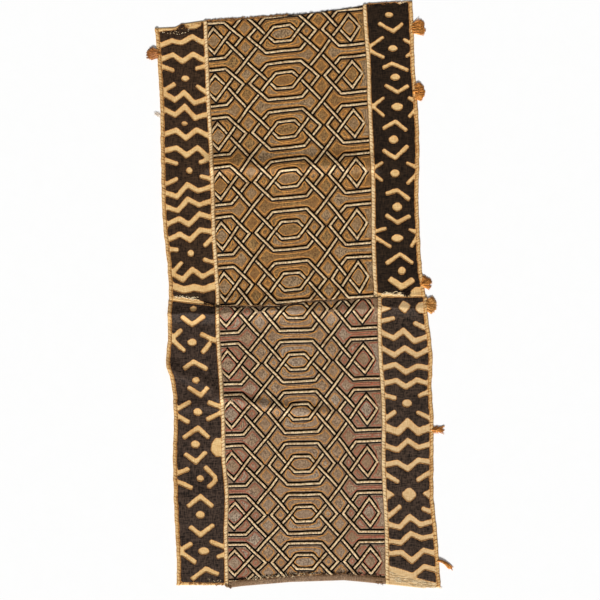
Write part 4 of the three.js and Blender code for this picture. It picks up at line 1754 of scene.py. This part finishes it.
        # Faces low on the sides of a roll take finish 2, the flank colour, which paints shade there.
        finish = np.where(on_roll & (on_face < flank_high), 2, np.where(inner & on_roll, 3, 1))
        finish = np.where(rolled[:-1, :-1] > GROUND_THICK + 0.3, finish, 0)
        skin = Skin()
        skin.grid(
            self.lie.place(x, down, lift + rolled), self.lie.place(x, down, lift), *x.shape, finish
        )
        looks = (self.cream, self.hem, self.flank, self.inner_hem)
        finishes = [look.material() for look in looks]
        piece = skin.make(self.name("ground"), finishes)
        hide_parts(f"border_{self.side.name.lower()}_{self.half.value}")
        return dress(piece)

    @staticmethod
    def fold(inward: Array, wide: float | Array) -> Array:
        """Height share of a fold along an end of the ground."""
        return np.sqrt(np.clip(1 - (2 * inward / np.maximum(wide, 0.01) - 1) ** 2, 0, 1))

    def fold_share(self, x: Array) -> Array:
        """How wide the end fold is at x, as a share of its full width."""
        outer, edge = self.hems(np.array([NEAR_SEAM]))
        return np.clip((x - edge) / (outer - edge), 0.15, 1) * (1 + 0.12 * ripple(x, x * 0, 30.0))

    @staticmethod
    def stroke(points: Iterable[Point], wide: float) -> Array:
        """Outline of a stroke with mitred bends.

        Args:
            points: Places of its middle line.
            wide: Its width.

        Returns:
            Corners of the outline.
        """
        line = np.array(list(points), float)
        step = np.diff(line, axis=0)
        normal = np.stack([-step[:, 1], step[:, 0]], axis=1) / np.hypot(step[:, 0], step[:, 1])[:, None]
        before = np.concatenate([normal[:1], normal])
        after = np.concatenate([normal, normal[-1:]])
        mitre = before + after
        mitre = mitre / np.hypot(mitre[:, 0], mitre[:, 1])[:, None]
        reach = wide / 2 / np.maximum((mitre * before).sum(axis=1), 0.5)
        return np.concatenate([line - mitre * reach[:, None], (line + mitre * reach[:, None])[::-1]])

    @staticmethod
    def clipped(x: float, down: float, size: Point, clip: Point, tilt: float) -> Array:
        """Outline of a cut with clipped corners.

        Args:
            x: Middle across.
            down: Middle down.
            size: Length and width.
            clip: How far each corner is clipped along the length and along the width.
            tilt: Degrees that its right end rises.

        Returns:
            Corners of the outline.
        """
        w, h = size[0] / 2, size[1] / 2
        a, b = w - clip[0], h - clip[1]
        corners = np.array([(w, -b), (w, b), (a, h), (-a, h), (-w, b), (-w, -b), (-a, -h), (a, -h)])
        c, s = math.cos(math.radians(tilt)), math.sin(math.radians(tilt))
        u, v = corners[:, 0], corners[:, 1]
        return np.stack([x + u * c - v * s, down - (u * s + v * c)], axis=1)

    def outlines(self) -> list[Array]:
        """Outlines of all the cuts.

        Returns:
            Corners of each outline.
        """
        shapes = []
        for cut in self.motifs.zigzags:
            low, high = (float(v) for v in self.span(np.array(cut.down[2], float)))
            wide = high - low
            x = (low - self.over, low + 0.27 * wide, (low + high) / 2, high - 0.25 * wide, high + self.over)
            shapes.append(self.stroke(zip(x, cut.down), cut.stroke))
        for cut in self.motifs.chevrons:
            x = self.middle(cut.down) + cut.across
            bend = [(x - cut.left, cut.down - cut.left_rise), (x, cut.down)]
            shapes.append(self.stroke([*bend, (x + cut.right, cut.down - cut.right_rise)], cut.stroke))
        for cut in self.motifs.bars:
            low, high = (float(v) for v in self.span(np.array(cut.down, float)))
            turn = math.radians(cut.tilt)
            reach = abs(cut.across) + cut.length / 2 * math.cos(turn) > (high - low) / 2 - self.over
            more = self.over if reach else 0.0
            shift = math.copysign(more / 2, cut.across)
            x = self.middle(cut.down) + cut.across + shift * math.cos(turn)
            down = cut.down - shift * math.sin(turn)
            clip = 0.16 * self.bar_wide
            size = (cut.length + more, self.bar_wide)
            shapes.append(self.clipped(x, down, size, (clip, clip), cut.tilt))
        for cut in self.motifs.dots:
            x = self.middle(cut.down) + cut.across
            clip = (cut.wide / 2 * cut.clip, cut.high / 2 * cut.clip)
            shapes.append(self.clipped(x, cut.down, (cut.wide, cut.high), clip, cut.tilt))
        return shapes

    def middle(self, down: float) -> float:
        """x of the dark cloth's middle."""
        low, high = self.span(np.array(down, float))
        return float(low + high) / 2

    @staticmethod
    def outside(shape: Array, x: Array, down: Array) -> Array:
        """Distance outside an outline, less than 0 inside it.

        Args:
            shape: Corners of the outline.
            x: Places across.
            down: Places down.

        Returns:
            Signed distances.
        """
        near = np.full(x.shape, 1e9)
        inside = np.zeros(x.shape, bool)
        for a, b in zip(shape, np.roll(shape, -1, axis=0)):
            ex, ed = b - a
            t = np.clip(((x - a[0]) * ex + (down - a[1]) * ed) / (ex * ex + ed * ed), 0, 1)
            near = np.minimum(near, np.hypot(x - a[0] - t * ex, down - a[1] - t * ed))
            crosses = (a[1] > down) != (b[1] > down)
            at = a[0] + (down - a[1]) / (ed if ed else 1.0) * ex
            inside ^= crosses & (x < at)
        return np.where(inside, -near, near)

    def stitches(self) -> Piece:
        """Slanting whip stitches over both hems.

        Returns:
            The piece.
        """
        draw = np.random.default_rng(round(abs(self.margins[0][1] * 100)) + len(self.motifs.bars))
        offsets, highs = zip(*self.outer_profile)
        skin = Skin()
        rough = self.ends(sum(self.hems(np.array(NEAR_SEAM))) / 2)
        for at_outer in (True, False):
            lines = [self.hems(np.array(float(end)))[0 if at_outer else 1] for end in rough]
            top, bottom = (float(self.ends(line)[k]) for k, line in enumerate(lines))
            down = top + self.stitch_first
            while down < bottom - self.stitch_last:
                outer, edge = (float(v) for v in self.hems(np.array(down)))
                wide = OUTER_HEM if at_outer else self.hem_wide
                start, way = (outer, self.side.value) if at_outer else (edge, -self.side.value)
                s = np.linspace(*self.stitch_across, 5) * wide
                x = start + way * s
                place = down + s * draw.uniform(*self.stitch_lean)
                high = np.interp(s * OUTER_HEM / wide, offsets, highs) + self.stitch_up
                z = self.lie.lift(x, place) + high
                thick = np.full(len(s), draw.uniform(*self.stitch_thick))
                if np.all(place < self.ends(x)[1] - self.stitch_clear):
                    tube(self.lie, skin, np.stack([x, place, z], axis=1), thick)
                down += self.whip * draw.uniform(*self.whip_uneven)
        return dress(skin.make(self.name("stitches"), [self.amber.material()]))

    def rims(self, x: Array, down: Array, inside: Array) -> Piece:
        """Thin amber tubes along every edge of the dark cloth: painted shade, the darker amber rim where the
        cream meets each cut edge.

        Args:
            x: Places across.
            down: Places down.
            inside: Distance inside the dark cloth's edge.

        Returns:
            The piece.
        """
        skin = Skin()
        for line in contours(inside, self.rim_at):
            if len(line) < self.rim_short:
                continue
            px, pd = between(line, x, down)
            z = self.lie.lift(px, pd) + DARK_LOW + self.rim_up
            wide = self.rim_wide * (1 + self.rim_uneven * ripple(px, pd, 12.0, 3.0))
            tube(self.lie, skin, np.stack([px, pd, z], axis=1), wide, 3)
        return dress(skin.make(self.name("rims"), [self.rim.material()]))

    def cut_cloth(self) -> tuple[Piece, Piece, float]:
        """The dark cloth, cut through along each outline, and the amber tubes along its edges that paint
        shade at the cuts.

        Returns:
            The cloth, the thread, and the area that is kept, in square mm.
        """
        wide = float(np.diff(self.span(np.array([MARKS[self.half].middle])), axis=0)[0, 0])
        top, bottom = self.dark_ends(np.array([self.middle(NEAR_SEAM)]))
        columns = round((wide + 4) / self.cell)
        rows = round((float(bottom[0] - top[0]) + 16) / self.cell)
        t = np.linspace(-0.012, 1.012, rows)[:, None]
        s = np.linspace(-0.025, 1.025, columns)[None, :]
        down = np.broadcast_to(top + t * (bottom - top), (rows, columns))
        for _ in range(SETTLE):
            low, high = self.span(down, self.hem_wide)
            x = low + s * (high - low)
            top, bottom = self.dark_ends(x)
            down = top + t * (bottom - top)
        low, high = self.span(down, self.hem_wide)
        x = low + s * (high - low)
        left = np.minimum.reduce([x - low, high - x, down - top, bottom - down])
        left = left + 0.5 * ripple(x, down, 31.0, 6.0)
        for shape in self.outlines():
            near = (np.abs(down - shape[:, 1].mean()) < np.ptp(shape[:, 1]) / 2 + 12).any(axis=1)
            band = np.where(near)[0]
            if len(band):
                rows_near = slice(band[0], band[-1] + 1)
                gap = self.outside(shape, x[rows_near], down[rows_near]) + self.cut_in
                gap = gap + 0.9 * ripple(x[rows_near], down[rows_near], 37.0, 2.0)
                gap = gap + 0.55 * ripple(x[rows_near], down[rows_near], 12.0, 2.0)
                left[rows_near] = np.minimum(left[rows_near], gap)
        left = self.softened(left) + 0.3 * ripple(x, down, 8.5, 5.0)
        lift = self.lie.lift(x, down)
        skin = Skin()
        area = clip_sheet(self.lie, skin, x, down, lift, left)
        piece = skin.make(self.name("dark"), [self.dark.material()])
        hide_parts(*self.dark_nodes)
        return dress(piece), self.rims(x, down, left), area

    def softened(self, field_values: Array) -> Array:
        """Rounds the corners of the cuts by averaging neighbours, but keeps the grid's own edge.

        Args:
            field_values: Distances inside the cloth's edge.

        Returns:
            The averaged field.
        """
        result = field_values.copy()
        for _ in range(self.soften):
            core = result[1:-1, 1:-1] * 4 + result[:-2, 1:-1] + result[2:, 1:-1]
            core = core + result[1:-1, :-2] + result[1:-1, 2:]
            result[1:-1, 1:-1] = core / 8
        return result


def clip_sheet(
    lie: Lie, skin: Skin, x: Array, down: Array, lift: Array, inside: Array
) -> float:
    """Adds a closed thin sheet that keeps only the places where a field is over 0.

    Args:
        lie: How the cloth lies.
        skin: Skin that the sheet is added to.
        x: Places across, as a grid.
        down: Places down.
        lift: Height of the underside.
        inside: The field, in mm inside the sheet's edge.

    Returns:
        The area that is kept, in square mm.
    """
    index: dict[tuple[int, int, int], int] = {}
    spots: list[tuple[float, float, float, float]] = []

    def corner(r: int, c: int) -> int:
        """Number of a grid point.

        Args:
            r: Row.
            c: Column.

        Returns:
            The point's number.
        """
        key = (0, r, c)
        if key not in index:
            index[key] = len(spots)
            spots.append((x[r, c], down[r, c], lift[r, c], inside[r, c]))
        return index[key]

    def cut(r: int, c: int, r2: int, c2: int) -> int:
        """Number of the point where the edge between two grid points is cut.

        Args:
            r: Row of one point.
            c: Its column.
            r2: Row of the other.
            c2: Its column.

        Returns:
            The new point's number.
        """
        key = (1 if r == r2 else 2, min(r, r2), min(c, c2))
        if key not in index:
            t = inside[r, c] / (inside[r, c] - inside[r2, c2])
            a = (x[r, c], down[r, c], lift[r, c])
            b = (x[r2, c2], down[r2, c2], lift[r2, c2])
            index[key] = len(spots)
            spots.append((*(p + t * (q - p) for p, q in zip(a, b)), 0.0))
        return index[key]

    polygons, walls = [], []
    kept = inside > 0
    cells = kept[:-1, :-1] | kept[1:, :-1] | kept[1:, 1:] | kept[:-1, 1:]
    for r, c in zip(*(axis.tolist() for axis in np.where(cells))):
        around = [(r, c), (r + 1, c), (r + 1, c + 1), (r, c + 1)]
        loop = []
        count = sum(bool(kept[p]) for p in around)
        split = count == 2 and kept[around[0]] == kept[around[2]]
        for i, p in enumerate(around):
            q = around[(i + 1) % 4]
            if kept[p]:
                loop.append(corner(*p))
            if kept[p] != kept[q]:
                loop.append(cut(*p, *q))
        if split and kept[around[0]]:
            loop = loop[-1:] + loop[:-1]
        for ring in [loop[:3], loop[3:]] if split else [loop]:
            polygons.append(ring)
            for a, b in zip(ring, ring[1:] + ring[:1]):
                if spots[a][3] == 0.0 and spots[b][3] == 0.0:
                    walls.append((a, b))
    place = np.array(spots)
    high = DARK_LOW + DARK_THICK * (0.5 + 0.5 * smooth(place[:, 3], 0, 1.8))
    top = lie.place(place[:, 0], place[:, 1], place[:, 2] + high)
    low = lie.place(place[:, 0], place[:, 1], place[:, 2] + DARK_LOW - DARK_SINK)
    n = len(spots)
    faces = [tuple(p) for p in polygons] + [tuple(i + n for i in reversed(p)) for p in polygons]
    faces += [(b, a, a + n, b + n) for a, b in walls]
    skin.add(np.concatenate([top, low]), faces)
    area = 0.0
    for ring in polygons:
        corners = place[ring]
        after = np.roll(corners, -1, axis=0)
        area += abs(float(np.sum(corners[:, 0] * after[:, 1] - after[:, 0] * corners[:, 1]))) / 2
    return area


def tube(lie: Lie, skin: Skin, line: Array, radius: Array, around: int = 4) -> None:
    """Adds a thin tube that follows a line of x, down and height.

    Args:
        lie: How the cloth lies.
        skin: Skin that the tube is added to.
        line: Points of the tube's middle, one row each.
        radius: Radius at each point.
        around: Points round the section.
    """
    run = np.gradient(line * (1, -1, 1), axis=0)
    run /= np.linalg.norm(run, axis=1)[:, None] + 1e-9
    level = np.stack([-run[:, 1], run[:, 0], run[:, 0] * 0], axis=1)
    level /= np.linalg.norm(level, axis=1)[:, None] + 1e-9
    upright = np.cross(run, level)
    turns = np.arange(around) * 2 * math.pi / around + math.pi / 4
    offset = level[:, None] * np.cos(turns)[None, :, None] + upright[:, None] * np.sin(turns)[None, :, None]
    offset = offset * radius[:, None, None] * MM
    middle = lie.place(line[:, 0], line[:, 1], line[:, 2])
    skin.sweep(middle[:, None] + offset, [0] * around)


@dataclass
class Tassel:
    """Raffia tassel on an outer hem: a gathered root with loose strands that lie on the surface."""

    node: str
    side: Side
    down: float
    heading: float
    fan: float
    long: float
    root: float
    finish: Thread
    layers: int
    strands: int = 150
    gather: float = 0.55
    blunt: float = 0.25
    bend: float = 0.0
    frizz: float = 1.0
    lobes: int = 0
    layer_high: float = 1.6
    strand_radius: float = 1.0
    tuck: float = 3.0
    steps: int = 6
    curl: float = 7.0
    shake: float = 5.0
    knot_turns: int = 4
    knot_around: int = 14
    seed: int = 1

    def build(self, lie: Lie) -> None:
        """Builds the strands and the wound root as one piece.

        Args:
            lie: How the cloth lies.
        """
        draw = np.random.default_rng(self.seed)
        half = Half.UPPER if self.down < NEAR_SEAM else Half.LOWER
        outer = float(lie.side(half, f"outer_{self.side.name.lower()}", np.array(self.down)))
        centre = (outer + self.side.value * self.tuck, self.down)
        high = self.layers * self.layer_high + 0.8
        skin = Skin()
        for k in range(self.strands):
            t = draw.uniform(-1, 1)
            if self.lobes:
                lobe = round((t + 1) / 2 * (self.lobes - 1))
                t = (2 * lobe / (self.lobes - 1) - 1) * 0.85 + draw.normal(0, 0.11)
            level = (k + 0.5) / self.strands
            long = self.long * (1 - self.blunt * t * t) * draw.uniform(0.8, 1.02) * (1 - 0.25 * level)
            self.strand(lie, skin, draw, centre, t, level * high, long)
        self.knot(lie, skin, centre, high)
        piece = skin.make(f"{self.node}_strands", [self.finish.material()])
        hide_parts(self.node)
        dress(piece)

    def strand(
        self,
        lie: Lie,
        skin: Skin,
        draw: np.random.Generator,
        centre: Point,
        t: float,
        level: float,
        long: float,
    ) -> None:
        """Adds one strand.

        Args:
            lie: How the cloth lies.
            skin: Skin that the strand is added to.
            draw: Seeded source of its small irregularities.
            centre: Middle of the root.
            t: Place in the fan, -1 to 1.
            level: Height at which it leaves the root.
            long: Length.
        """
        steps = self.steps
        lead = math.radians(self.heading)
        turn = math.radians(self.heading + t * self.fan)
        curl = math.radians(self.bend + draw.normal(0, self.curl * self.frizz) - t * self.fan * 0.35)
        off = (t * self.gather + draw.uniform(-0.2, 0.2)) * self.root
        x = centre[0] - math.sin(lead) * off
        y = -centre[1] + math.cos(lead) * off
        line = []
        for i in range(steps + 1):
            s = i / steps
            z = self.strand_radius + level * (1 - 0.55 * s * s) * (0.8 + 0.2 * math.cos(2.4 * s + 3 * t))
            line.append((x, -y, z))
            turn += curl / steps + math.radians(draw.normal(0, self.shake * self.frizz))
            x += math.cos(turn) * (long + self.root) / steps
            y += math.sin(turn) * (long + self.root) / steps
        taper = self.strand_radius * np.linspace(1.0, 0.6, steps + 1)
        tube(lie, skin, np.array(line), taper, 3)

    def knot(self, lie: Lie, skin: Skin, centre: Point, high: float) -> None:
        """Adds the wound root, with a ridge for each turn of raffia round it.

        Args:
            lie: How the cloth lies.
            skin: Skin that is added to.
            centre: Middle of the root.
            high: Its height.
        """
        turns, around = self.knot_turns, self.knot_around
        rings = []
        for i in range(turns * 4 + 1):
            s = i / (turns * 4)
            wide = self.root * 0.8 * (1 - 0.6 * s**2) * (1 + 0.07 * math.cos(i * math.pi / 2))
            angle = np.arange(around) * 2 * math.pi / around
            ring = lie.place(
                centre[0] + np.cos(angle) * wide, centre[1] - np.sin(angle) * wide, np.full(around, s * high)
            )
            rings.append(ring)
        skin.sweep(np.stack(rings), [0] * around)


@dataclass
class Frays:
    """Ragged raffia fibres along an edge of the cloth, all as one piece."""

    name: str
    finish: Thread
    edge: tuple[Point, ...]
    per_mm: float
    long: Point
    spread: Point
    height: Point
    heading: float = 90.0
    swing: float = 35.0
    radius: float = 0.38
    bow: float = 0.22
    seed: int = 5
    slot: str = "embroidered_raffia"

    def build(self, lie: Lie) -> None:
        """Builds the fibres.

        Args:
            lie: How the cloth lies.
        """
        draw = np.random.default_rng(self.seed)
        skin = Skin()
        for (x0, d0), (x1, d1) in zip(self.edge, self.edge[1:]):
            for _ in range(round(math.hypot(x1 - x0, d1 - d0) * self.per_mm)):
                t = draw.uniform()
                off = draw.uniform(*self.spread)
                middle = np.array([x0 + (x1 - x0) * t, d0 + (d1 - d0) * t + off])
                turn = math.radians(self.heading + draw.normal(0, self.swing))
                reach = draw.uniform(*self.long) / 2
                bow = draw.normal(0, self.bow) * reach
                s = np.linspace(-1, 1, 5)
                x = middle[0] + math.cos(turn) * reach * s - math.sin(turn) * bow * (1 - s * s)
                down = middle[1] - math.sin(turn) * reach * s - math.cos(turn) * bow * (1 - s * s)
                z = lie.lift(x, down) + draw.uniform(*self.height) * (1 - 0.35 * s * s)
                tube(lie, skin, np.stack([x, down, z], axis=1), self.radius * (1 - 0.5 * s * s), 3)
        dress(skin.make(self.name, [self.finish.material()]))


@dataclass(frozen=True)
class Studio:
    """Pale floor, soft light from the cloth's lower end, and a camera straight above."""

    floor_half: float = 4.0
    floor_white: float = 0.93
    sun_strength: float = 4.5
    sun_soft: float = 12.0
    sun_height: float = 34.0
    sun_turn: float = -8.0
    sky: float = 0.27
    lens: float = 85.0
    sensor: float = 36.0
    over: Point = (6.6, NEAR_SEAM)
    camera_high: float = 3.117

    def build(self, lie: Lie) -> None:
        """Builds the floor, lights and camera.

        Args:
            lie: How the cloth lies.
        """
        s = self.floor_half
        mesh = bpy.data.meshes.new("floor")
        mesh.from_pydata([(-s, -s, 0), (s, -s, 0), (s, s, 0), (-s, s, 0)], [], [(0, 1, 2, 3)])
        floor = put("floor", mesh)
        tree = Tree("floor_paper", 0.95, 0.0, 0.1)
        white = (self.floor_white, self.floor_white, self.floor_white)
        pale = (self.floor_white * 0.985, self.floor_white * 0.985, self.floor_white * 0.98)
        grain = tree.noise((30.0, 30.0, 30.0), 2.0)
        floor.data.materials.append(tree.finish(tree.mix(grain, white, pale), grain, 0.02))
        world = bpy.data.worlds.new("soft_sky")
        world.use_nodes = True
        world.node_tree.nodes["Background"].inputs["Color"].default_value = (1, 1, 1, 1)
        world.node_tree.nodes["Background"].inputs["Strength"].default_value = self.sky
        bpy.context.scene.world = world
        bpy.context.scene.view_settings.view_transform = "Standard"
        sun = bpy.data.lights.new("soft_sun", "SUN")
        sun.energy = self.sun_strength
        sun.angle = math.radians(self.sun_soft)
        lamp = put("soft_sun", sun)
        lamp.rotation_euler = (math.radians(90 - self.sun_height), 0, math.radians(self.sun_turn))
        camera = bpy.data.cameras.new("camera")
        camera.lens = self.lens
        camera.sensor_width = self.sensor
        eye = put("camera", camera)
        x, y, _ = lie.place(np.array(self.over[0]), np.array(self.over[1]), np.array(0.0))[0]
        eye.location = (x, y, self.camera_high)
        bpy.context.scene.camera = eye


def numbered(stem: str, count: int) -> tuple[str, ...]:
    """Names of the solids of one dark cloth."""
    return tuple(f"{stem}_{i:02d}" for i in range(1, count + 1))


def borders(lie: Lie) -> list[Border]:
    """The four border lengths. Each margins row is a share from the outer hem, then head and foot in mm.

    Args:
        lie: How the cloth lies.

    Returns:
        The borders.
    """
    return [
        Border(
            lie, Half.UPPER, Side.LEFT, LEFT_UPPER, CREAM, dark=DARK_LEFT_UPPER,
            dark_nodes=numbered("dark_left_upper", 13),
            margins=(
                (0.08, 10.0, 8.8), (0.3, 6.0, 8.6), (0.42, 6.5, 8.4), (0.5, 0.8, 8.3), (0.6, 1.5, 8.0),
                (0.85, 2.5, 1.2),
            ),
            end_hem=7.0, head_hem=6.5, cut_in=0.45, outer_more=0.7,
        ),
        Border(
            lie, Half.LOWER, Side.LEFT, LEFT_LOWER, CREAM, dark=DARK_LEFT_LOWER,
            dark_nodes=numbered("dark_left_lower", 1), margins=((0.1, 1.5, 6.5), (0.9, 1.5, 5.0)),
            cut_in=0.2,
        ),
        Border(
            lie, Half.UPPER, Side.RIGHT, RIGHT_UPPER, CREAM, dark=DARK_RIGHT_UPPER,
            dark_nodes=numbered("dark_right_upper", 1),
            margins=(
                (0.1, 0.4, 9.0), (0.2, 0.5, 8.4), (0.28, 6.0, 8.0), (0.36, 0.5, 7.4), (0.5, 0.3, 6.5),
                (0.9, 0.3, 8.5),
            ),
            end_hem=8.0, bar_wide=8.5, cut_in=0.25, outer_more=1.2, inner_less=2.6,
        ),
        Border(
            lie, Half.LOWER, Side.RIGHT, RIGHT_LOWER, CREAM_COOL, dark=DARK_RIGHT_LOWER,
            dark_nodes=numbered("dark_right_lower", 12), margins=((0.1, 1.5, 0.0), (0.9, 1.5, 0.0)),
            end_hem=0.0, cut_in=0.2, outer_more=1.2, inner_less=2.6,
        ),
    ]


def panels(lie: Lie) -> list[CentrePanel]:
    """The two embroidered panels.

    Args:
        lie: How the cloth lies.

    Returns:
        The lower panel, then the upper one.
    """
    return [
        CentrePanel(
            lie, Half.LOWER, "panel_lower", (GREY_PILE_LOWER, WARM_PILE_LOWER), GROUND_LOWER,
            RUSSET_THREAD,
        ),
        CentrePanel(
            lie, Half.UPPER, "panel_upper", (GREY_PILE_UPPER, WARM_PILE_UPPER), GROUND_UPPER,
            OCHRE_THREAD,
        ),
    ]


TASSELS: tuple[Tassel, ...] = (
    Tassel(
        "tassel_left_top", Side.LEFT, 119, 180, 8, 22, 6.5, LEFT_TASSEL, 3, strands=260, gather=1.35,
        blunt=0.5, seed=11,
    ),
    Tassel(
        "tassel_right_1", Side.RIGHT, 64, 8, 13, 25, 6.0, TASSEL_THREAD, 2, strands=240, gather=1.5,
        blunt=0.1, seed=12,
    ),
    Tassel(
        "tassel_right_2", Side.RIGHT, 203, 4, 22, 17, 6.5, TASSEL_THREAD, 3, strands=320, gather=2.3,
        blunt=0.6, seed=13,
    ),
    Tassel(
        "tassel_right_3", Side.RIGHT, 626, 26, 58, 18, 5.0, TASSEL_THREAD, 3, strands=230, lobes=3, seed=14,
    ),
    Tassel(
        "tassel_right_4", Side.RIGHT, 671, -4, 40, 20, 6.5, PALE_TASSEL, 3, strands=280, gather=1.3,
        blunt=0.4, seed=15,
    ),
    Tassel(
        "tassel_right_5", Side.RIGHT, 945, 0, 15, 27, 4.0, TASSEL_THREAD, 2, strands=100, blunt=0.7, seed=16,
    ),
    Tassel(
        "tassel_right_6", Side.RIGHT, 1233, 4, 4, 40, 2.8, TASSEL_THREAD, 2, strands=70, bend=-54, frizz=0.35,
        seed=17,
    ),
)
LOW_FIBRES: Point = (0.8, 2.8)
FRAYS: tuple[Frays, ...] = (
    Frays(
        "top_frays", TOP_FRAY, ((-200, 48), (-136, 44), (-59, 38), (-20, 35)), 2.6,
        (4, 9), (-3.4, 2.4), (0.7, 2.1), heading=12, swing=40, radius=0.6,
    ),
    Frays(
        "top_dark_frays", DARK_FRAY, ((-60, 38), (7, 32), (106, 21), (143, 15)), 0.9,
        (3, 7), (-1.5, 2.5), (1.2, 2.6), heading=10, swing=50, seed=21,
    ),
    Frays(
        "bottom_frays", FRAY_THREAD, ((-150, 1280), (-15, 1267), (103, 1263), (185, 1270)), 1.1,
        (3, 8), (-3.5, 2.5), (2, 3.4), swing=60, seed=6,
    ),
    Frays(
        "bottom_pale_frays", PALE_FRAY, ((-112, 1276), (-15, 1267), (40, 1265)), 0.6,
        (3, 9), (-6.5, 2), (2, 3.2), heading=30, swing=60, seed=22,
    ),
    Frays(
        "seam_frays", DARK_FRAY, tuple((x, d - 0.5) for x, d in SEAM if -200 < x < 200), 1.1,
        (3, 8), (-1.5, 2.6), (3.4, 4.4), heading=8, swing=40, seed=7,
    ),
    Frays(
        "left_seam_pale_frays", PALE_FRAY, ((-268, 654), (-215, 660)), 0.9,
        (3, 8), (-6, 1), (2, 3), heading=8, swing=16, radius=0.7, bow=0.05, seed=23,
        slot=PLAIN,
    ),
    Frays(
        "left_seam_dark_frays", DARK_FRAY, ((-205, 666), (-172, 675)), 1.8,
        (3, 8), (-3, 2.5), (2.8, 4.2), heading=-20, swing=50, seed=24, slot=PLAIN,
    ),
    Frays(
        "right_seam_pale_frays", PALE_FRAY, ((190, 645), (236, 648)), 1.2,
        (6, 15), (-3, 2.5), (2.8, 4.2), heading=-6, swing=20, radius=0.8, seed=25, slot=PLAIN,
    ),
    Frays(
        "right_seam_dark_frays", DARK_FRAY, ((230, 645), (248, 648)), 4,
        (4, 10), (-6, 3.5), (2.6, 4.6), heading=-30, swing=45, radius=0.8, seed=26, slot=PLAIN,
    ),
    Frays(
        "corner_pale_frays", PALE_FRAY, ((-296, 70), (-252, 70), (-236, 66)), 0.4,
        (1.5, 3.5), (-3, 7), (2, 3), heading=-35, swing=35, radius=0.6, bow=0.05, seed=27,
        slot=PLAIN,
    ),
    Frays(
        "corner_amber_frays", RIM_THREAD, ((-296, 68), (-262, 63), (-206, 49)), 1,
        (3, 6), (-1.5, 3), LOW_FIBRES, heading=70, swing=40, seed=28, slot=PLAIN,
    ),
    Frays(
        "right_top_frays", AMBER_THREAD, ((152, 11), (183, 9), (248, 4)), 0.9,
        (3, 7), (-2, 2.5), LOW_FIBRES, heading=40, swing=50, seed=29, slot=PLAIN,
    ),
    Frays(
        "left_foot_frays", AMBER_THREAD, ((-262, 1284), (-212, 1284), (-160, 1286)), 1.6,
        (3, 7), (-4, 1.5), LOW_FIBRES, heading=80, swing=45, seed=30, slot=PLAIN,
    ),
    Frays(
        "right_foot_fibres", STRAW, ((200, 1268), (232, 1280), (262, 1289), (300, 1290)), 1,
        (18, 46), (-12, 3), (1, 1.4), heading=-9, swing=2, radius=0.55, bow=0.04, seed=31,
        slot=PLAIN,
    ),
    Frays(
        "left_foot_pale_frays", STRAW, ((-196, 1276), (-166, 1279)), 1,
        (2, 4), (-5, 2), (1.8, 2.8), heading=30, swing=30, radius=0.55, bow=0.05, seed=38,
        slot=PLAIN,
    ),
    Frays(
        "right_foot_dark_frays", DARK_FRAY, ((196, 1259), (200, 1279)), 1.6,
        (3, 7), (-4, 4), (1.6, 3), heading=60, swing=50, seed=32, slot=PLAIN,
    ),
    Frays(
        "knots", FRAY_THREAD, ((-158, 1286), (-144, 1291)), 4.5,
        (3, 7), (-3, 3), (0.8, 4.4), heading=10, swing=70, radius=0.6, seed=33,
    ),
    Frays(
        "right_knot", FRAY_THREAD, ((174, 1280), (190, 1283)), 3.2,
        (3, 7), (-3, 2.5), (0.8, 4), heading=10, swing=70, radius=0.55, seed=34,
    ),
    Frays(
        "left_tuft", TUFT_THREAD, ((-310, 249), (-304, 255)), 2.2,
        (8, 15), (-3, 2.5), (0.6, 1.2), heading=178, swing=24, radius=0.3, seed=35, slot=PLAIN,
    ),
    Frays(
        "right_top_pale_frays", PALE_FRAY, ((222, 6), (246, 4)), 1.2,
        (3, 6), (-1.5, 2.5), (1.2, 2.4), heading=60, swing=35, radius=0.6, bow=0.08, seed=36,
        slot=PLAIN,
    ),
    Frays(
        "bottom_dark_frays", DARK_FRAY, ((-148, 1276), (-15, 1262), (103, 1258), (185, 1266)), 1.2,
        (2.5, 6), (-3, 3), (1.8, 3), heading=60, swing=60, radius=0.5, seed=37,
    ),
)


def main() -> None:
    logging.basicConfig(level=logging.INFO, format="%(message)s")
    lie = Lie("panel_lower")
    for panel in panels(lie):
        panel.build()
        log.info("built %s", panel.node)
    for border in borders(lie):
        border.build()
        log.info("built %s", border.name("border"))
    for tassel in TASSELS:
        tassel.build(lie)
        log.info("built %s", tassel.node)
    for fray in FRAYS:
        fray.build(lie)
        log.info("built %s", fray.name)
    Studio().build(lie)
    log.info("sizes written")


if __name__ == "__main__":
    main()
